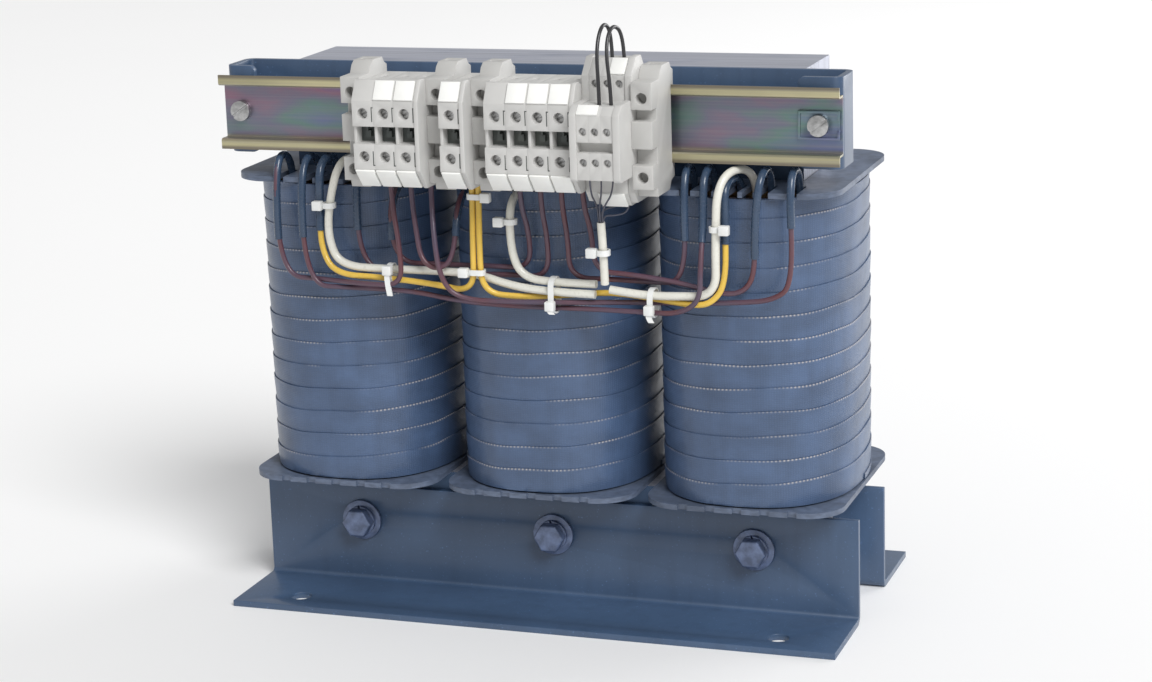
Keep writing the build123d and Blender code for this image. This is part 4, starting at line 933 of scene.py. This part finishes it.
class TRANSFORMER_OT_twin_terminals(BuildOperator, bpy.types.Operator):
    """Mould the small two level terminals of the sensor circuit"""

    bl_idname = "transformer.twin_terminals"
    bl_label = "Two level terminals"

    def execute(self, context):
        colours = context.scene.terminal_colours
        grey = moulded("twin terminal moulding", tuple(colours.moulding))
        for number in TWINS:
            softened(f"twin_terminal_{number}", colours.edge * 0.7, grey)
        softened("twin_terminal_end_plates", colours.edge, grey)
        softened("twin_terminal_screws", 0.1 * MM, small_zinc(colours, "twin screw zinc"))
        return {"FINISHED"}


class TRANSFORMER_OT_markers(BuildOperator, bpy.types.Operator):
    """Clip the white marker strips on the terminals"""

    bl_idname = "transformer.markers"
    bl_label = "Marker strips"

    def execute(self, context):
        white = moulded("marker strip", tuple(context.scene.terminal_colours.marker), 0.5)
        for node in ("lower_markers", "upper_markers", "twin_terminal_markers"):
            softened(node, 0.1 * MM, white)
        return {"FINISHED"}


def sleeve_points(points, flipped, stop_height):
    """the part of a route that a sleeve covers, from the coil down to its stop"""
    route = list(reversed(points)) if flipped else list(points)
    last = next(k for k in range(1, len(route) - 1) if route[k + 1][2] < stop_height)
    above, below = Vector(route[last]), Vector(route[last + 1])
    stop = above.lerp(below, (above.z - stop_height) / (above.z - below.z))
    return route[:last + 1] + [tuple(stop)]


class TRANSFORMER_OT_leads(BuildOperator, bpy.types.Operator):
    """Run the winding leads and the yellow screen leads, with the sleeves over their coil ends"""

    bl_idname = "transformer.leads"
    bl_label = "Leads and sleeves"

    def execute(self, context):
        sizes = context.scene.harness
        mauve = insulation("lead wrap", tuple(sizes.lead_colour), tuple(sizes.lead_end_colour))
        for name, points in LEADS.items():
            wire(name, points, sizes.lead, mauve, "winding_leads")
        yellow = insulation("screen insulation", tuple(sizes.screen_colour), None, 0.3)
        for name, points in SCREENS.items():
            wire(name, points, sizes.screen, yellow, "screen_leads")
        sleeve = insulation("varnished sleeve", tuple(sizes.sleeve_colour), None, 0.24)
        for name, flipped, stop in SLEEVE_STOPS:
            if name in LEADS:
                points, diameter = LEADS[name], sizes.lead
            else:
                points, diameter = SCREENS[name], sizes.screen
            end = "far" if flipped else "near"
            covered = sleeve_points(points, flipped, stop)
            wire(f"sleeve_{name}_{end}", covered, diameter + 2 * sizes.sleeve_wall, sleeve,
                 "lead_hoses")
        return {"FINISHED"}


class TRANSFORMER_OT_sensor_circuit(BuildOperator, bpy.types.Operator):
    """Run the white sensor hoses, the thin sensor wires and the black jumpers"""

    bl_idname = "transformer.sensor_circuit"
    bl_label = "Sensor hoses, wires and jumpers"

    def execute(self, context):
        sizes = context.scene.harness
        colour = tuple(sizes.hose_colour)
        white = insulation("sensor hose", colour, shade(colour, 0.92), 0.3)
        for name, points in HOSES.items():
            wire(name, points, sizes.hose, white, "sensor_hoses")
        black = insulation("jumper insulation", (0.030, 0.030, 0.033), None, 0.3)
        for name, points in JUMPERS.items():
            wire(name, points, sizes.jumper, black, "jumper_wires")
        thin = insulation("sensor insulation", (0.11, 0.12, 0.17), (0.05, 0.05, 0.07), 0.3)
        for name, points in SENSOR_WIRES.items():
            wire(name, points, sizes.sensor, thin, "sensor_wires")
        return {"FINISHED"}


# Middle of the bundle, half the strap's width and depth, and the side its head is on, in millimetres.
UPRIGHT_TIES = (
    (-91.9, -66.0, 199.0, 2.5, 2.5, -1), (-17.9, -68.1, 206.0, 3.4, 1.9, 1),
    (-17.2, -71.5, 171.5, 3.4, 1.9, -1), (-2.3, -65.7, 194.5, 2.5, 2.5, -1),
    (45.2, -75.2, 184.0, 2.5, 2.6, -1), (95.4, -67.7, 195.0, 2.2, 2.2, 1))
# Place along the rail, front and back of the bundle, its foot and top, height of the head, length of the tail.
LEVEL_TIES = (
    (-61.5, -70.0, -63.7, 164.3, 172.3, 170.5, 9.5), (18.2, -71.2, -61.6, 153.6, 169.3, 157.5, 1.2),
    (65.0, -70.4, -60.9, 153.6, 165.9, 157.5, 3.0))
HEAD_HALF = 2.2          # half a tie head's height


def strap(shape, half_long, half_wide, width, sheet, place, turn):
    """a tie's strap bent round the wires, as a rounded ring"""
    corner = min(half_long, half_wide) * 0.85
    ring = []
    for quarter in range(4):
        for step in range(5):
            angle = math.pi / 2 * (quarter + step / 4)
            middle_x = (half_long - corner) * (1 if quarter in (0, 3) else -1)
            middle_y = (half_wide - corner) * (1 if quarter < 2 else -1)
            ring.append((middle_x, middle_y, math.cos(angle), math.sin(angle)))
    rows = []
    for grow, level in ((0.0, -width / 2), (sheet, -width / 2), (sheet, width / 2), (0.0, width / 2)):
        out = corner + grow
        rows.append([shape.verts.new(place + turn @ Vector((x + out * c, y + out * k, level)))
                     for x, y, c, k in ring])
    for row, other in zip(rows, rows[1:] + rows[:1]):
        for k in range(len(ring)):
            after = (k + 1) % len(ring)
            shape.faces.new((row[k], row[after], other[after], other[k]))


def tie_head(shape, low, high):
    """a tie's locking head with its rounded edges"""
    corners = box(shape, low, high)
    edges = list({edge for corner in corners for edge in corner.link_edges})
    bmesh.ops.bevel(shape, geom=edges, offset=0.45 * MM, segments=2, profile=0.5, affect="EDGES",
                    material=-1)


def tie_tail(shape, start, length, width):
    """the cut end of a tie, hanging from its head and curling forward"""
    rows = []
    for step in range(7):
        share = step / 6
        y = start.y - 1.6 * MM * share ** 2
        x = start.x + 1.8 * MM * share ** 2
        z = start.z - length * share
        rows.append([shape.verts.new(Vector((x + dx, y + dy, z))) for dx, dy in
                     ((-width / 2, 0), (width / 2, 0), (width / 2, 0.8 * MM), (-width / 2, 0.8 * MM))])
    for row, other in zip(rows, rows[1:]):
        for k in range(4):
            shape.faces.new((row[k], row[(k + 1) % 4], other[(k + 1) % 4], other[k]))
    shape.faces.new(rows[0])
    shape.faces.new(rows[-1])


class TRANSFORMER_OT_cable_ties(BuildOperator, bpy.types.Operator):
    """Tie the harness with nylon ties"""

    bl_idname = "transformer.cable_ties"
    bl_label = "Cable ties"

    def execute(self, context):
        sizes = context.scene.harness
        sheet = sizes.tie_sheet
        width = sizes.tie_width
        shape = bmesh.new()
        for x, y, z, half_x, half_y, way in UPRIGHT_TIES:
            place = Vector((x, y, z)) * MM
            strap(shape, half_x * MM, half_y * MM, width, sheet, place, Matrix.Identity(3))
            near = place.x + way * (half_x * MM + 0.1 * MM)
            far = near + way * 4.6 * MM
            front = place.y - 4.2 * MM
            tie_head(shape, (min(near, far), front, place.z - HEAD_HALF * MM),
                     (max(near, far), front + 3.6 * MM, place.z + HEAD_HALF * MM))
        upright = Matrix(((0, 0, 1), (1, 0, 0), (0, 1, 0)))
        for x, front, back, low, high, head, tail in LEVEL_TIES:
            place = Vector((x, (front + back) / 2, (low + high) / 2)) * MM
            strap(shape, (back - front) / 2 * MM, (high - low) / 2 * MM, width, sheet, place, upright)
            top = (head + HEAD_HALF) * MM
            tie_head(shape, ((x - HEAD_HALF) * MM, (front - 3.7) * MM, top - 2 * HEAD_HALF * MM),
                     ((x + HEAD_HALF) * MM, front * MM, top))
            tie_tail(shape, Vector((x, front - 3.0, head - 2.0)) * MM, tail * MM, width)
        bmesh.ops.recalc_face_normals(shape, faces=shape.faces)
        nylon = moulded("tie nylon", tuple(sizes.tie_colour), 0.35)
        show("cable_ties_finished", mesh_from("cable_ties", shape), nylon, ("cable_ties",))
        return {"FINISHED"}


class TRANSFORMER_OT_stage(BuildOperator, bpy.types.Operator):
    """Set out the plain floor, the soft light and the camera"""

    bl_idname = "transformer.stage"
    bl_label = "Stage"

    def execute(self, context):
        setting = context.scene.stage_setting
        slab = bmesh.new()
        bmesh.ops.create_grid(slab, x_segments=1, y_segments=1, size=FLOOR_HALF)
        mesh = bpy.data.meshes.new("floor")
        slab.to_mesh(mesh)
        slab.free()
        floor = bpy.data.objects.new("floor", mesh)
        context.scene.collection.objects.link(floor)
        paint, tree, shader, place = start_material("floor paint", 0.7)
        colour = tuple(setting.floor)
        tone = blend_colours(tree, mottle(tree, place, 3.0), colour, shade(colour, 0.985))
        tree.links.new(tone, shader.inputs["Base Color"])
        mesh.materials.append(paint)
        world = bpy.data.worlds.new("white studio")
        world.use_nodes = True
        sky = world.node_tree.nodes["Background"]
        sky.inputs["Color"].default_value = (1.0, 1.0, 1.0, 1.0)
        sky.inputs["Strength"].default_value = setting.sky
        context.scene.world = world
        context.scene.view_settings.view_transform = "Standard"
        sun = bpy.data.lights.new("key", "SUN")
        sun.energy = setting.key
        sun.angle = math.radians(KEY_SPREAD)
        key = bpy.data.objects.new("key", sun)
        key.location = KEY_PLACE
        key.rotation_euler = (-key.location).to_track_quat("-Z", "Y").to_euler()
        context.scene.collection.objects.link(key)
        soft_light("rim", RIM_PLACE, RIM_SIZE, setting.rim)
        set_camera(context.scene)
        return {"FINISHED"}


def soft_light(name, place, size, power):
    """a large square light that looks at the middle of the object"""
    lamp = bpy.data.lights.new(name, "AREA")
    lamp.size = size
    lamp.energy = power
    light = bpy.data.objects.new(name, lamp)
    light.location = place
    aim = Vector(LIGHT_AIM) - Vector(place)
    light.rotation_euler = aim.to_track_quat("-Z", "Y").to_euler()
    bpy.context.scene.collection.objects.link(light)


def set_camera(scene):
    """a long lens to the right of the front, a little above the object and slightly rolled"""
    azimuth, elevation, roll = (math.radians(angle) for angle in CAMERA_ANGLES)
    ahead = Vector((-math.sin(azimuth) * math.cos(elevation), math.cos(azimuth) * math.cos(elevation),
                    -math.sin(elevation)))
    right = ahead.cross(Vector((0, 0, 1))).normalized()
    up = right.cross(ahead)
    rolled_right = math.cos(roll) * right + math.sin(roll) * up
    rolled_up = math.cos(roll) * up - math.sin(roll) * right
    lens = bpy.data.cameras.new("camera")
    lens.sensor_width = 36.0
    lens.lens = FOCAL_LENGTH
    camera = bpy.data.objects.new("camera", lens)
    turn = Matrix((rolled_right, rolled_up, -ahead)).transposed()
    camera.matrix_world = Matrix.Translation(CAMERA_PLACE) @ turn.to_4x4()
    scene.collection.objects.link(camera)
    scene.camera = camera


class TRANSFORMER_PT_parts(bpy.types.Panel):
    """The transformer's pieces and their sizes"""

    bl_idname = "TRANSFORMER_PT_parts"
    bl_label = "Dry type transformer"
    bl_space_type = "VIEW_3D"
    bl_region_type = "UI"
    bl_category = "Transformer"

    def draw(self, context):
        layout = self.layout
        for operator in OPERATORS:
            layout.operator(operator.bl_idname)
        for group in SETTINGS:
            settings = getattr(context.scene, group)
            box_area = layout.box()
            box_area.label(text=type(settings).__doc__)
            for key in type(settings).__annotations__:
                box_area.prop(settings, key)


OPERATORS = (
    TRANSFORMER_OT_core, TRANSFORMER_OT_clamps, TRANSFORMER_OT_yoke_bolts, TRANSFORMER_OT_windings,
    TRANSFORMER_OT_tape, TRANSFORMER_OT_rail, TRANSFORMER_OT_terminals, TRANSFORMER_OT_end_brackets,
    TRANSFORMER_OT_twin_terminals, TRANSFORMER_OT_markers, TRANSFORMER_OT_leads,
    TRANSFORMER_OT_sensor_circuit, TRANSFORMER_OT_cable_ties, TRANSFORMER_OT_stage,
)
SETTINGS = {
    "coil_tape": CoilTapeSizes,
    "steelwork": SteelworkColours,
    "terminal_colours": TerminalColours,
    "harness": HarnessSizes,
    "stage_setting": StageSetting,
}


def register():
    for group, kind in SETTINGS.items():
        bpy.utils.register_class(kind)
        setattr(bpy.types.Scene, group, bpy.props.PointerProperty(type=kind))
    for operator in OPERATORS:
        bpy.utils.register_class(operator)
    bpy.utils.register_class(TRANSFORMER_PT_parts)


def unregister():
    bpy.utils.unregister_class(TRANSFORMER_PT_parts)
    for operator in reversed(OPERATORS):
        bpy.utils.unregister_class(operator)
    for group, kind in reversed(SETTINGS.items()):
        delattr(bpy.types.Scene, group)
        bpy.utils.unregister_class(kind)


def main():
    register()
    for operator in OPERATORS:
        group, action = operator.bl_idname.split(".")
        getattr(getattr(bpy.ops, group), action)()


if __name__ == "__main__":
    main()
